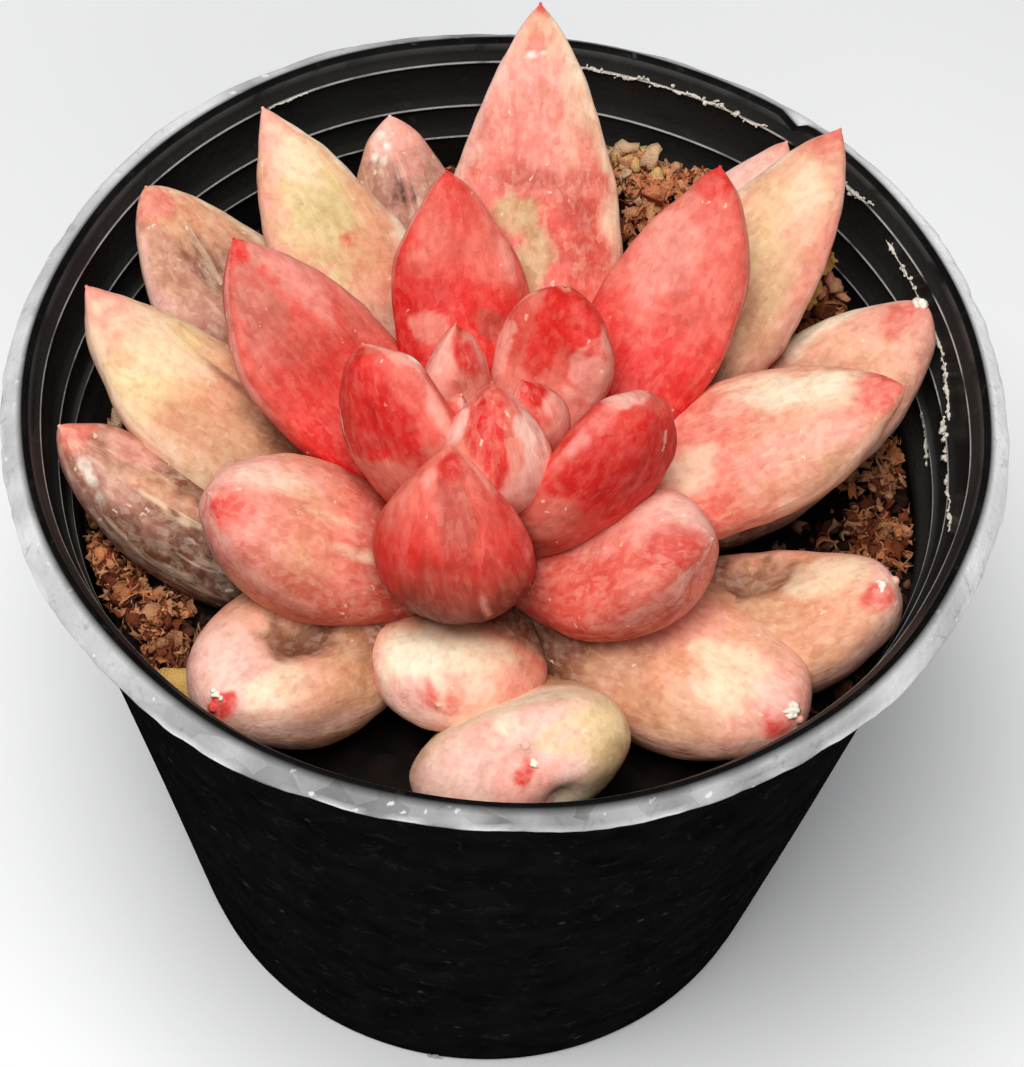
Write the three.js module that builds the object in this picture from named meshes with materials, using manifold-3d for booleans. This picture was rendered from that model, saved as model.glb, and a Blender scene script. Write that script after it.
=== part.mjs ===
// A rosette of thick succulent leaves on a short stem, planted in soil in a small black nursery pot.
// Millimetres, +Z up, the pot's base on Z = 0 and its axis on the Z axis.
import * as THREE from 'three';
import { mergeVertices } from 'three/addons/utils/BufferGeometryUtils.js';
import Module from 'manifold-3d';

const wasm = await Module();
wasm.setup();

// Driving dimensions of the pot
const POT_HEIGHT = 75;
const RIM_RADIUS = 45;
const BASE_RADIUS = 31.6;
const WALL = 1.2;
const BAND_WIDTH = 1.75;
const BAND_DROP = 1.6;
const LIP_WIDTH = 0.9;
const SHOULDER_DROP = 10;
const SHOULDER_RADIUS = 41.2;
const BAND_OVERHANG = 1.9;
const BAND_UNDERSIDE = 2;
const BAND_EDGE = 0.45;
const LEDGE_DEPTHS = [2, 6.8, 10.3];
const LEDGE_DEPTH_IN = 0.5;
const LEDGE_HALF = 0.45;
const RIDGE_Z = 56;
const RIDGE_OUT = 0.25;
const SOFT_CORNER = 0.8;
const FLOOR = 1.6;
const DRAIN_RADIUS = 3;
const DRAIN_RING = 21;
const DRAIN_COUNT = 6;
const POT_SIDES = 52;

// Driving dimensions of the soil and the stem
const GAP = 0.35;
const SOIL_LEVEL = 60;
const SOIL_BOWL = 2.6;
const SOIL_BOWL_RADIUS = 24;
const SOIL_WAVE = 0.4;
const SOIL_EDGE_Z = 56.5;
const SOIL_SIDES = 32;
const SOIL_RINGS = 7;
const CHIP_COUNT = 28;
const CHIP_RING = 29;
const CHIP_SPREAD = 8;
const CHIP_LIFT = 0.25;
const STEM_X = -0.5;
const STEM_Y = -11;
const STEM_RADIUS = 4.3;
const STEM_NECK = 2.6;
const STEM_WAIST = 3.2;
const STEM_POINT = 1.6;
const STEM_BOTTOM = 34;
const STEM_WAIST_Z = 46;
const STEM_FULL_Z = 58;
const STEM_TAPER_Z = 70;
const STEM_TOP = 76;
const STEM_SIDES = 16;

// How finely a leaf is faceted: sections along it, points around it, and both for a small leaf
const LEAF_SECTIONS = 10;
const LEAF_POINTS = 12;
const SMALL_SECTIONS = 7;
const SMALL_POINTS = 8;
const SMALL_WIDTH = 8;
const TIP_CROWDING = 1.6;
const MUCRO = 0.9;

// How a leaf's section is rounded, and how its thickness is shared between its two sides
const ROUNDNESS = 2.1;
const UPPER_FULLNESS = 0.8;
const UNDER_FULLNESS = 1.2;

const BLACK_PLASTIC = 0x1b1b1c;
const BARK_SOIL = 0x3a2a1e;
const WOODY = 0x8a7358;
const CORAL = 0xd6443f;
const ROSE = 0xd9655c;
const PEACH = 0xe0a083;
const CREAM = 0xe6c08f;
const MAUVE = 0xb98a74;
const YELLOW_STONE = 0xd8b24a;
const PALE_FLAKE = 0xd9c79a;
const GOLDEN_FLAKE = 0xc99a52;

// Each leaf runs from its base on the stem to its tip. Its spine sags by bow and swings by sway
// at mid length, and nose is how far its end turns down. Width and thickness are the largest ones,
// base_share the share of them at the stem, peak the place of the largest width, and blunt rounds
// the end, from about 1 when pointed to 2 when round. face turns the broad side to an azimuth.
const LEAVES = [
  { name: 'heart_leaf_left', base: [-2, -10, 76], tip: [-5, -3, 86], width: 7, thick: 4.5,
    bow: 1, blunt: 1.15, face: 150, colour: ROSE },
  { name: 'heart_leaf_front', base: [0, -12.5, 76], tip: [-1.5, -10.5, 88], width: 10, thick: 7,
    bow: 3, blunt: 1.15, keel: 1.8, face: 270, colour: CORAL },
  { name: 'heart_leaf_right', base: [1.5, -10, 76.5], tip: [1, -8.5, 86], width: 7, thick: 4,
    bow: 1.5, blunt: 1.2, face: 310, colour: ROSE },
  { name: 'heart_leaf_small', base: [-2.5, -11, 76], tip: [-4, -10.5, 86], width: 4, thick: 3,
    bow: 1, blunt: 1.2, face: 200, colour: ROSE },
  { name: 'inner_leaf_back', base: [1, -7, 75], tip: [4, 0.5, 88], width: 10, thick: 6,
    bow: 2.5, blunt: 1.2, base_share: 0.6, face: 60, colour: CORAL },
  { name: 'inner_leaf_left', base: [-3.5, -13, 73], tip: [-12.5, -7.5, 88], width: 12, thick: 7,
    bow: 1.5, sway: 1, blunt: 1.4, base_share: 0.7, face: 240, colour: CORAL },
  { name: 'inner_leaf_right', base: [2, -14, 73], tip: [11.5, -9, 86.5], width: 13.5, thick: 7,
    bow: 1.5, blunt: 1.7, base_share: 0.7, face: 308, colour: CORAL },
  { name: 'inner_leaf_front', base: [-1, -14, 70], tip: [-4.5, -16.5, 87], width: 14, thick: 9.5,
    bow: 5.5, blunt: 1.2, base_share: 0.6, face: 262, colour: CORAL },
  { name: 'middle_leaf_back', base: [-1.5, -6.5, 72], tip: [-7, 12.5, 88], width: 12.5, thick: 6.5,
    bow: 2.5, blunt: 1.2, base_share: 0.7, peak: 0.5, colour: CORAL },
  { name: 'middle_leaf_left', base: [-3.5, -10, 71], tip: [-25, 5.5, 85], width: 14, thick: 7,
    bow: 2.5, sway: 0.5, blunt: 1.15, base_share: 0.6, colour: CORAL },
  { name: 'middle_leaf_back_right', base: [3.5, -9, 71], tip: [17, 16.5, 87], width: 13, thick: 7,
    bow: 2.5, sway: -1.5, blunt: 1.2, colour: CORAL },
  { name: 'middle_leaf_front_left', base: [-3, -15.5, 69], tip: [-24.5, -17.5, 79], width: 15,
    thick: 10.5, bow: 2.5, sway: 0.5, nose: 1.5, blunt: 1.9, colour: ROSE },
  { name: 'middle_leaf_front_right', base: [1.5, -15.5, 69], tip: [18, -17.5, 78], width: 13.5,
    thick: 10, bow: 2.5, sway: -0.5, nose: 3, blunt: 1.75, colour: ROSE },
  { name: 'outer_leaf_right', base: [3, -11, 69], tip: [34, -2, 81], width: 14.5, thick: 9,
    bow: 2, sway: 1, blunt: 1.25, base_share: 0.6, colour: PEACH },
  { name: 'outer_leaf_tall', base: [1, -6.5, 69], tip: [0, 30, 92], width: 16, thick: 7,
    bow: 4, sway: -0.5, blunt: 1.15, base_share: 0.8, peak: 0.45, colour: PEACH },
  { name: 'outer_leaf_back_right', base: [3, -7.5, 67], tip: [28.5, 27, 82], width: 14, thick: 7,
    bow: 2.5, sway: -1, blunt: 1.2, colour: CREAM },
  { name: 'outer_leaf_back_left', base: [-3, -7.5, 67], tip: [-25, 26, 80], width: 14, thick: 7,
    bow: 3, sway: -1, blunt: 1.15, base_share: 0.6, peak: 0.5, colour: CREAM },
  { name: 'outer_leaf_left', base: [-4.5, -11, 66], tip: [-38.5, 5.5, 77], width: 14, thick: 8,
    bow: 3, sway: 2, blunt: 1.2, base_share: 0.6, colour: CREAM },
  { name: 'low_leaf_right', base: [3, -11, 64], tip: [38.5, 15, 73.5], width: 15.5, thick: 8,
    bow: 2, sway: -2, blunt: 1.35, colour: PEACH },
  { name: 'low_leaf_back_left', base: [-4, -8, 64], tip: [-35.5, 20.5, 74], width: 15.5, thick: 7,
    bow: 2, sway: 0.5, blunt: 1.5, base_share: 0.6, colour: MAUVE },
  { name: 'low_leaf_back', base: [-2, -6.5, 64], tip: [-13.5, 30, 76], width: 13.5, thick: 6,
    bow: 2, blunt: 1.4, colour: MAUVE },
  { name: 'low_leaf_left', base: [-4.5, -14, 64], tip: [-39.5, -6.5, 72], width: 11.5, thick: 9,
    bow: 3, sway: 3, blunt: 1.4, base_share: 0.7, colour: MAUVE },
  { name: 'lowest_leaf_front', base: [1.5, -17, 60], tip: [3.5, -36, 73], width: 19, thick: 10.5,
    bow: 4, roll: -18, blunt: 3, base_share: 0.25, peak: 0.75, colour: CREAM },
  { name: 'low_leaf_front_middle', base: [-1, -15.5, 65], tip: [-4, -31, 70], width: 15.5, thick: 9,
    bow: 2, nose: 2, blunt: 2.2, colour: CREAM },
  { name: 'low_leaf_front_right', base: [1, -12, 65], tip: [26.5, -29, 69], width: 17, thick: 11,
    bow: 2, blunt: 1.9, colour: CREAM },
  { name: 'low_leaf_front_left', base: [-3.5, -14.5, 64], tip: [-22.5, -33.5, 71], width: 15.5,
    thick: 11, bow: 2.5, sway: -1.5, nose: 2, blunt: 2, colour: PEACH },
  { name: 'low_leaf_right_front', base: [3, -14, 63], tip: [34.5, -15.5, 71], width: 15, thick: 9.5,
    bow: 3, sway: -3, blunt: 2.4, base_share: 0.6, colour: PEACH },
  { name: 'lowest_leaf_back_right', base: [2, -7.5, 64], tip: [24.5, 32.5, 74], width: 12.5, thick: 6,
    bow: 2, blunt: 1.3, colour: MAUVE },
];

// Where the soil stands higher or lower than its level: place, rise and spread
const MOUNDS = [
  { at: [13, 35], rise: 5, spread: 12 },
  { at: [31, 24], rise: 3, spread: 6 },
  { at: [38, 4], rise: -4, spread: 10 },
  { at: [-33, -20], rise: 2.5, spread: 8 },
];

// Loose pieces that lie on the soil: a pebble and flat dry flakes
const LOOSE = [
  { name: 'yellow_pebble', at: [-25.5, -27.5], size: [5, 4, 3.2], turn: 30, round: true,
    colour: YELLOW_STONE },
  { name: 'pale_flake', at: [9, 36], size: [6, 3, 1.2], turn: 20, colour: PALE_FLAKE },
  { name: 'golden_flake', at: [31, 25], size: [6, 3.5, 1.2], turn: 100, colour: GOLDEN_FLAKE },
];

function toSolid(geometry) {
  const bare = geometry.clone();
  bare.deleteAttribute('normal');
  bare.deleteAttribute('uv');
  const merged = mergeVertices(bare, 1e-5);
  return new wasm.Manifold(new wasm.Mesh({
    numProp: 3,
    vertProperties: new Float32Array(merged.attributes.position.array),
    triVerts: new Uint32Array(merged.index.array),
  }));
}

function toGeometry(solid) {
  const mesh = solid.getMesh();
  const geometry = new THREE.BufferGeometry();
  geometry.setAttribute('position', new THREE.BufferAttribute(mesh.vertProperties, 3));
  geometry.setIndex(new THREE.BufferAttribute(mesh.triVerts, 1));
  geometry.computeVertexNormals();
  return geometry;
}

function largestPiece(solid) {
  const pieces = solid.decompose();
  pieces.sort((a, b) => b.volume() - a.volume());
  return pieces[0];
}

function random(seed) {
  let state = seed;
  return () => {
    state = (state * 1664525 + 1013904223) % 4294967296;
    return state / 4294967296;
  };
}

function lathe(points, sides) {
  const profile = points.map(([r, z]) => new THREE.Vector2(r, z));
  const geometry = new THREE.LatheGeometry(profile, sides);
  geometry.rotateX(Math.PI / 2);
  return geometry;
}

function wallRadius(z) {
  const shoulderZ = POT_HEIGHT - SHOULDER_DROP;
  if (z <= shoulderZ) {
    return BASE_RADIUS + (SHOULDER_RADIUS - BASE_RADIUS) * z / shoulderZ;
  }
  const bandFoot = RIM_RADIUS - BAND_OVERHANG;
  const rise = (z - shoulderZ) / (SHOULDER_DROP - BAND_UNDERSIDE);
  return SHOULDER_RADIUS + (bandFoot - SHOULDER_RADIUS) * rise;
}

function innerRadius(z) {
  return Math.min(wallRadius(z), RIM_RADIUS - BAND_WIDTH - LIP_WIDTH + WALL) - WALL;
}

function makePot() {
  const bandTop = RIM_RADIUS - BAND_WIDTH;
  const underside = POT_HEIGHT - BAND_UNDERSIDE - BAND_EDGE;
  const outside = [
    [0, 0],
    [BASE_RADIUS - SOFT_CORNER, 0],
    [BASE_RADIUS, SOFT_CORNER],
    [wallRadius(RIDGE_Z - SOFT_CORNER), RIDGE_Z - SOFT_CORNER],
    [wallRadius(RIDGE_Z) + RIDGE_OUT, RIDGE_Z],
    [wallRadius(RIDGE_Z + SOFT_CORNER), RIDGE_Z + SOFT_CORNER],
    [SHOULDER_RADIUS, POT_HEIGHT - SHOULDER_DROP],
    [wallRadius(underside), underside],
    [RIM_RADIUS - BAND_EDGE / 2, POT_HEIGHT - BAND_DROP - BAND_EDGE],
    [RIM_RADIUS, POT_HEIGHT - BAND_DROP],
    [bandTop, POT_HEIGHT - 0.1],
    [bandTop - LIP_WIDTH / 2, POT_HEIGHT],
    [bandTop - LIP_WIDTH, POT_HEIGHT - LIP_WIDTH / 2],
  ];
  const inside = [];
  for (const depth of LEDGE_DEPTHS) {
    const z = POT_HEIGHT - depth;
    inside.push([innerRadius(z + LEDGE_HALF), z + LEDGE_HALF]);
    inside.push([innerRadius(z) - LEDGE_DEPTH_IN, z]);
    inside.push([innerRadius(z - LEDGE_HALF), z - LEDGE_HALF]);
  }
  inside.push([innerRadius(FLOOR + SOFT_CORNER), FLOOR + SOFT_CORNER]);
  inside.push([innerRadius(FLOOR) - SOFT_CORNER, FLOOR]);
  inside.push([0, FLOOR]);
  let pot = toSolid(lathe([...outside, ...inside], POT_SIDES));
  for (let i = 0; i < DRAIN_COUNT; i += 1) {
    const angle = 2 * Math.PI * (i + 0.5) / DRAIN_COUNT;
    const drill = new THREE.CylinderGeometry(DRAIN_RADIUS, DRAIN_RADIUS, 4 * FLOOR, 16);
    drill.rotateX(Math.PI / 2);
    drill.translate(DRAIN_RING * Math.cos(angle), DRAIN_RING * Math.sin(angle), 0);
    pot = pot.subtract(toSolid(drill));
  }
  return pot;
}

function makeStem() {
  const profile = [
    [0, STEM_BOTTOM],
    [STEM_POINT, STEM_BOTTOM + 1],
    [STEM_WAIST, STEM_WAIST_Z],
    [STEM_RADIUS, STEM_FULL_Z],
    [STEM_RADIUS, STEM_TAPER_Z],
    [STEM_NECK, STEM_TOP - 1.2],
    [0, STEM_TOP],
  ];
  const geometry = lathe(profile, STEM_SIDES);
  geometry.translate(STEM_X, STEM_Y, 0);
  return geometry;
}

// The share of the full width at t, from 0 at the stem to 1 at the tip
function outlineShare(t, baseShare, peak, blunt) {
  const toPeak = Math.min(t / peak, 1);
  const rise = baseShare + (1 - baseShare) * Math.sin(toPeak * Math.PI / 2) ** 1.2;
  const past = Math.max((t - peak) / (1 - peak), 0);
  return rise * Math.max(1 - past * past, 0) ** (1 / blunt);
}

// The spine's point at t and its directions: along it, its upper side and its left side
function leafFrame(leaf) {
  const base = new THREE.Vector3(...leaf.base);
  const chord = new THREE.Vector3(...leaf.tip).sub(base);
  const azimuth = leaf.face === undefined ? Math.atan2(chord.y, chord.x) : leaf.face * Math.PI / 180;
  const side = new THREE.Vector3(-Math.sin(azimuth), Math.cos(azimuth), 0);
  side.addScaledVector(chord, -side.dot(chord) / chord.lengthSq()).normalize();
  const upper = new THREE.Vector3().crossVectors(chord, side).normalize();
  const roll = (leaf.roll ?? 0) * Math.PI / 180;
  const rolled = side.clone().multiplyScalar(Math.cos(roll)).addScaledVector(upper, -Math.sin(roll));
  const bow = leaf.bow ?? 0;
  const sway = leaf.sway ?? 0;
  const nose = leaf.nose ?? 0;
  return (t) => {
    const arch = 4 * t * (1 - t);
    const slope = 4 - 8 * t;
    const point = base.clone().addScaledVector(chord, t);
    point.addScaledVector(upper, -bow * arch + nose * (t - t ** 6));
    point.addScaledVector(side, sway * arch);
    const along = chord.clone().addScaledVector(upper, -bow * slope + nose * (1 - 6 * t ** 5) / 2);
    along.addScaledVector(side, sway * slope).normalize();
    const left = rolled.clone().addScaledVector(along, -rolled.dot(along)).normalize();
    const up = new THREE.Vector3().crossVectors(along, left);
    return { point, along, up, left };
  };
}

function superEllipse(angle, power) {
  const c = Math.cos(angle);
  const s = Math.sin(angle);
  return [
    Math.sign(c) * Math.abs(c) ** (2 / power),
    Math.sign(s) * Math.abs(s) ** (2 / power),
  ];
}

function makeLeaf(leaf) {
  const frameAt = leafFrame(leaf);
  const baseShare = leaf.base_share ?? 0.5;
  const peak = leaf.peak ?? 0.55;
  const power = leaf.keel ?? ROUNDNESS;
  const small = leaf.width < SMALL_WIDTH;
  const sections = small ? SMALL_SECTIONS : LEAF_SECTIONS;
  const around = small ? SMALL_POINTS : LEAF_POINTS;
  const positions = [...leaf.base];
  for (let i = 0; i < sections; i += 1) {
    const t = 1 - (1 - i / sections) ** TIP_CROWDING;
    const { point, up, left } = frameAt(t);
    const halfWidth = leaf.width / 2 * outlineShare(t, baseShare, peak, leaf.blunt);
    const thickBase = Math.min(baseShare + 0.08, 1);
    const halfThick = leaf.thick / 2 * outlineShare(t, thickBase, peak, leaf.blunt * 1.2);
    for (let j = 0; j < around; j += 1) {
      const [across, height] = superEllipse(2 * Math.PI * j / around, power);
      const fullness = height > 0 ? UPPER_FULLNESS : UNDER_FULLNESS;
      const corner = point.clone().addScaledVector(left, halfWidth * across);
      corner.addScaledVector(up, halfThick * height * fullness);
      positions.push(corner.x, corner.y, corner.z);
    }
  }
  const end = frameAt(1);
  const tip = end.point.addScaledVector(end.along, MUCRO);
  positions.push(tip.x, tip.y, tip.z);
  const index = [];
  const last = 1 + sections * around;
  for (let j = 0; j < around; j += 1) {
    const next = (j + 1) % around;
    index.push(0, 1 + next, 1 + j);
    index.push(last, last - around + j, last - around + next);
    for (let i = 0; i < sections - 1; i += 1) {
      const a = 1 + i * around + j;
      const b = 1 + i * around + next;
      index.push(a, b + around, a + around);
      index.push(a, b, b + around);
    }
  }
  const geometry = new THREE.BufferGeometry();
  geometry.setAttribute('position', new THREE.Float32BufferAttribute(positions, 3));
  geometry.setIndex(index);
  return geometry;
}

// The same closed shape with its skin moved out, to cut a neighbour clear of it
function grown(geometry, distance) {
  const shape = geometry.clone();
  shape.deleteAttribute('uv');
  shape.deleteAttribute('normal');
  const merged = mergeVertices(shape, 1e-5);
  merged.computeVertexNormals();
  const place = merged.attributes.position;
  const normal = merged.attributes.normal;
  for (let i = 0; i < place.count; i += 1) {
    place.setXYZ(
      i,
      place.getX(i) + normal.getX(i) * distance,
      place.getY(i) + normal.getY(i) * distance,
      place.getZ(i) + normal.getZ(i) * distance,
    );
  }
  return merged;
}

// What the pot holds stays clear of its wall: it keeps to this tapered round of air
function makeMouth() {
  const clear = GAP + LEDGE_DEPTH_IN;
  const shoulderZ = POT_HEIGHT - SHOULDER_DROP;
  const lipFootZ = POT_HEIGHT - 3;
  const outerReach = RIM_RADIUS + 20;
  const skyZ = POT_HEIGHT + 45;
  return toSolid(lathe([
    [0, FLOOR + GAP],
    [innerRadius(FLOOR + GAP) - clear - SOFT_CORNER, FLOOR + GAP],
    [innerRadius(FLOOR + 2) - clear, FLOOR + 2],
    [innerRadius(shoulderZ) - clear, shoulderZ],
    [innerRadius(lipFootZ) - clear, lipFootZ],
    [RIM_RADIUS - BAND_WIDTH - LIP_WIDTH - clear, POT_HEIGHT + GAP],
    [outerReach, POT_HEIGHT + GAP],
    [outerReach, skyZ],
    [0, skyZ],
  ], POT_SIDES));
}

function soilHeight(x, y) {
  const r = Math.hypot(x, y);
  const bowl = SOIL_BOWL * Math.exp(-((r / SOIL_BOWL_RADIUS) ** 4));
  const waves = Math.sin(0.31 * x + 1.2) + Math.sin(0.27 * y - 0.4);
  let height = SOIL_LEVEL - bowl + SOIL_WAVE * waves;
  for (const mound of MOUNDS) {
    const away = Math.hypot(x - mound.at[0], y - mound.at[1]) / mound.spread;
    height += mound.rise * Math.exp(-away * away);
  }
  return height;
}

function makeSoilBody() {
  const rings = [];
  for (let i = 1; i <= SOIL_RINGS; i += 1) {
    rings.push(i / SOIL_RINGS);
  }
  const bottom = FLOOR + GAP;
  const edge = (z) => innerRadius(z) - GAP - (z > SOIL_EDGE_Z ? LEDGE_DEPTH_IN : 0);
  const positions = [0, 0, soilHeight(0, 0)];
  const top = edge(SOIL_LEVEL);
  const addRing = (radius, height) => {
    for (let j = 0; j < SOIL_SIDES; j += 1) {
      const angle = 2 * Math.PI * j / SOIL_SIDES;
      const x = radius * Math.cos(angle);
      const y = radius * Math.sin(angle);
      positions.push(x, y, height === undefined ? soilHeight(x, y) : height);
    }
  };
  for (const share of rings) {
    addRing(top * share);
  }
  addRing(edge(SOIL_EDGE_Z), SOIL_EDGE_Z);
  addRing(edge(bottom + 1) - 0.3, bottom + 1);
  addRing(edge(bottom) - 1.2, bottom);
  positions.push(0, 0, bottom);
  const ringCount = SOIL_RINGS + 3;
  const last = 1 + ringCount * SOIL_SIDES;
  const index = [];
  for (let j = 0; j < SOIL_SIDES; j += 1) {
    const next = (j + 1) % SOIL_SIDES;
    index.push(0, 1 + j, 1 + next);
    index.push(last, last - SOIL_SIDES + next, last - SOIL_SIDES + j);
    for (let i = 0; i < ringCount - 1; i += 1) {
      const a = 1 + i * SOIL_SIDES + j;
      const b = 1 + i * SOIL_SIDES + next;
      index.push(a, a + SOIL_SIDES, b + SOIL_SIDES);
      index.push(a, b + SOIL_SIDES, b);
    }
  }
  const geometry = new THREE.BufferGeometry();
  geometry.setAttribute('position', new THREE.Float32BufferAttribute(positions, 3));
  geometry.setIndex(index);
  return toSolid(geometry);
}

// Bark chips lie half sunk in the soil, by a seeded rule, in the ring that the leaves leave open
function addChips(soil) {
  const draw = random(7);
  let body = soil;
  for (let i = 0; i < CHIP_COUNT; i += 1) {
    const angle = 2 * Math.PI * (i + 0.7 * draw()) / CHIP_COUNT;
    const radius = CHIP_RING + CHIP_SPREAD * draw();
    const x = radius * Math.cos(angle);
    const y = radius * Math.sin(angle);
    const chip = new THREE.BoxGeometry(2 + 2.6 * draw(), 1.4 + 1.4 * draw(), 0.9 + 0.8 * draw());
    chip.rotateX(0.9 * (draw() - 0.5));
    chip.rotateY(0.9 * (draw() - 0.5));
    chip.rotateZ(6.3 * draw());
    chip.translate(x, y, soilHeight(x, y) + CHIP_LIFT);
    body = body.add(toSolid(chip));
  }
  return body;
}

function makeLoosePiece(piece, soil) {
  const [x, y] = piece.at;
  const [length, width, height] = piece.size;
  const geometry = piece.round
    ? new THREE.IcosahedronGeometry(0.5, 1)
    : new THREE.CylinderGeometry(0.42, 0.5, 1, 7);
  if (!piece.round) {
    geometry.rotateX(Math.PI / 2);
  }
  geometry.scale(length, width, height);
  geometry.rotateZ(piece.turn * Math.PI / 180);
  geometry.translate(x, y, soilHeight(x, y) + height * 0.45 + GAP);
  let solid = toSolid(geometry);
  for (const shift of [[0, 0, GAP], [GAP, 0, 0], [-GAP, 0, 0], [0, GAP, 0], [0, -GAP, 0]]) {
    solid = solid.subtract(soil.translate(shift));
  }
  return solid;
}

const model = new THREE.Group();

function addMesh(name, solid, colour, roughness) {
  const material = new THREE.MeshStandardMaterial({ color: colour, roughness, metalness: 0 });
  const mesh = new THREE.Mesh(toGeometry(solid), material);
  mesh.name = name;
  model.add(mesh);
}

const solids = new Map();
const mouth = makeMouth();
const stem = makeStem();
const cutters = [toSolid(grown(stem, GAP))];
for (const leaf of LEAVES) {
  const geometry = makeLeaf(leaf);
  let solid = toSolid(geometry).intersect(mouth);
  for (const cutter of cutters) {
    solid = solid.subtract(cutter);
  }
  solids.set(leaf.name, { leaf, solid: largestPiece(solid) });
  cutters.push(toSolid(grown(geometry, GAP)));
}

let soil = addChips(makeSoilBody()).intersect(mouth);
for (const cutter of cutters) {
  soil = soil.subtract(cutter);
}
soil = largestPiece(soil);

addMesh('pot', makePot(), BLACK_PLASTIC, 0.55);
addMesh('soil', soil, BARK_SOIL, 0.95);
addMesh('stem', toSolid(stem), WOODY, 0.8);
for (const { leaf, solid } of solids.values()) {
  addMesh(leaf.name, solid, leaf.colour, 0.6);
}
for (const piece of LOOSE) {
  let solid = makeLoosePiece(piece, soil).intersect(mouth);
  for (const cutter of cutters) {
    solid = solid.subtract(cutter);
  }
  addMesh(piece.name, largestPiece(solid), piece.colour, 0.8);
}

export default model;
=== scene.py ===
# A rosette of thick succulent leaves in a small black nursery pot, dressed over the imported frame.
# Sizes are in millimetres, in the frame's own axes, and pieces are written to Blender in metres.
import math

import bmesh
import bpy
import numpy as np
from mathutils import Matrix, Vector


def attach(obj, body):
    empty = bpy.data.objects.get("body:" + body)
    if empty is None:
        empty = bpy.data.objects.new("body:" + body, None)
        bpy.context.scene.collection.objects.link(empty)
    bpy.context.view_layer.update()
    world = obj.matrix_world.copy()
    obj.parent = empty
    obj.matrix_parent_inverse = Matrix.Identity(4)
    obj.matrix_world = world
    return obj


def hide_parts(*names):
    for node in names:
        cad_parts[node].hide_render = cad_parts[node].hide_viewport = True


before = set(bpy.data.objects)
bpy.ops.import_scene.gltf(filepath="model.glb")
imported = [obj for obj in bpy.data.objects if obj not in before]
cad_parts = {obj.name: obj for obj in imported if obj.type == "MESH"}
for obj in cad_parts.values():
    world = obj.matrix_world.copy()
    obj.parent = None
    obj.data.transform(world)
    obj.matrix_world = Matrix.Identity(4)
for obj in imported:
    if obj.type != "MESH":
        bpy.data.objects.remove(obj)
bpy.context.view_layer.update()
MM = 0.001

# The camera: focal length in pixels of the 1024 x 1067 image, and the pose that the rim gives
IMAGE_HEIGHT = 1067
FOCAL_PIXELS = 2700
SENSOR = 36
CAMERA_ELEVATION = 55
CAMERA_ROLL = 4.4
CAMERA_DISTANCE = 240
CAMERA_AIM = (1.1, -10.8, 67)

# The studio: each soft light's name, place and power, their size and aim, and the room's own glow
SOFT_LIGHTS = (
    ("overhead_softbox", (-70, -120, 600), 3.35),
    ("front_fill", (160, -520, 420), 0.8),
)
SOFT_LIGHT_SIZE = 320
LIGHT_AIM = (0, 0, 60)
ROOM_TINT = (0.93, 0.96, 1, 1)
ROOM_GLOW = 0.15

# The pot
POT_HEIGHT = 75
RIM_RADIUS = 45
BASE_RADIUS = 31.6
WALL = 1.2
BAND_WIDTH = 1.75
BAND_DROP = 1.6
LIP_WIDTH = 0.9
SHOULDER_DROP = 10
SHOULDER_RADIUS = 41.2
LEDGE_DEPTHS = (2, 6.8, 10.3)
LEDGE_OUT = 0.4
# Depths of the pale lines painted on the lip and the ledges inside, as painted highlights on their edges
HIGHLIGHT_LINE_DEPTHS = (0.6, 2, 6.8, 10.3)
RIDGE_Z = 56
RIDGE_OUT = 0.08
FLOOR = 1.6
BAND_OVERHANG = 1.9
DRAIN_RADIUS = 3
DRAIN_RING = 21
DRAIN_COUNT = 6
POT_SIDES = 288

# How far the worn rim waves in and out, and how far smaller waves add to it
RIM_WAVE = 0.22
RIM_RIPPLE = 0.08

# Where the rim's outer edge is bent: turn and spread in degrees, then how far up and how far out
RIM_BENDS = ((135, 28, 0.8, 0), (38, 20, 0.35, 0), (-92, 26, 0.6, -0.4), (-55, 22, 0.2, -0.4))

# Lime crust on the inner wall: turn and height at its start and end, and how many grains
CRUST_RUNS = (
    (86, 73.1, 57, 73.2, 110),
    (47, 72.9, 38, 73.3, 45),
    (34, 71.4, 15, 70.3, 70),
    (15, 70.3, 6, 68.6, 50),
    (7, 68.6, 1, 67.4, 60),
    (0, 67.6, -12, 69.2, 30),
    (12, 64.6, 5, 62.8, 40),
    (128, 72.9, 122, 73, 5),
)

# Splashes of lime low on the wall outside: turn, height and size
BASE_SPLASH = ((-95, 0.7, 0.5), (-96, 0.6, 0.35), (-93.9, 0.6, 0.3))

# The soil
SOIL_LEVEL = 60
SOIL_BOWL = 2.6
SCRAP_REACH = 39.2
WALL_CLEARANCE = 0.8
MOUNDS = (
    ((13, 35), 5, 12),
    ((31, 24), 3, 6),
    ((38, 4), -4, 10),
    ((-33, -20), 2.5, 8),
)

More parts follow.
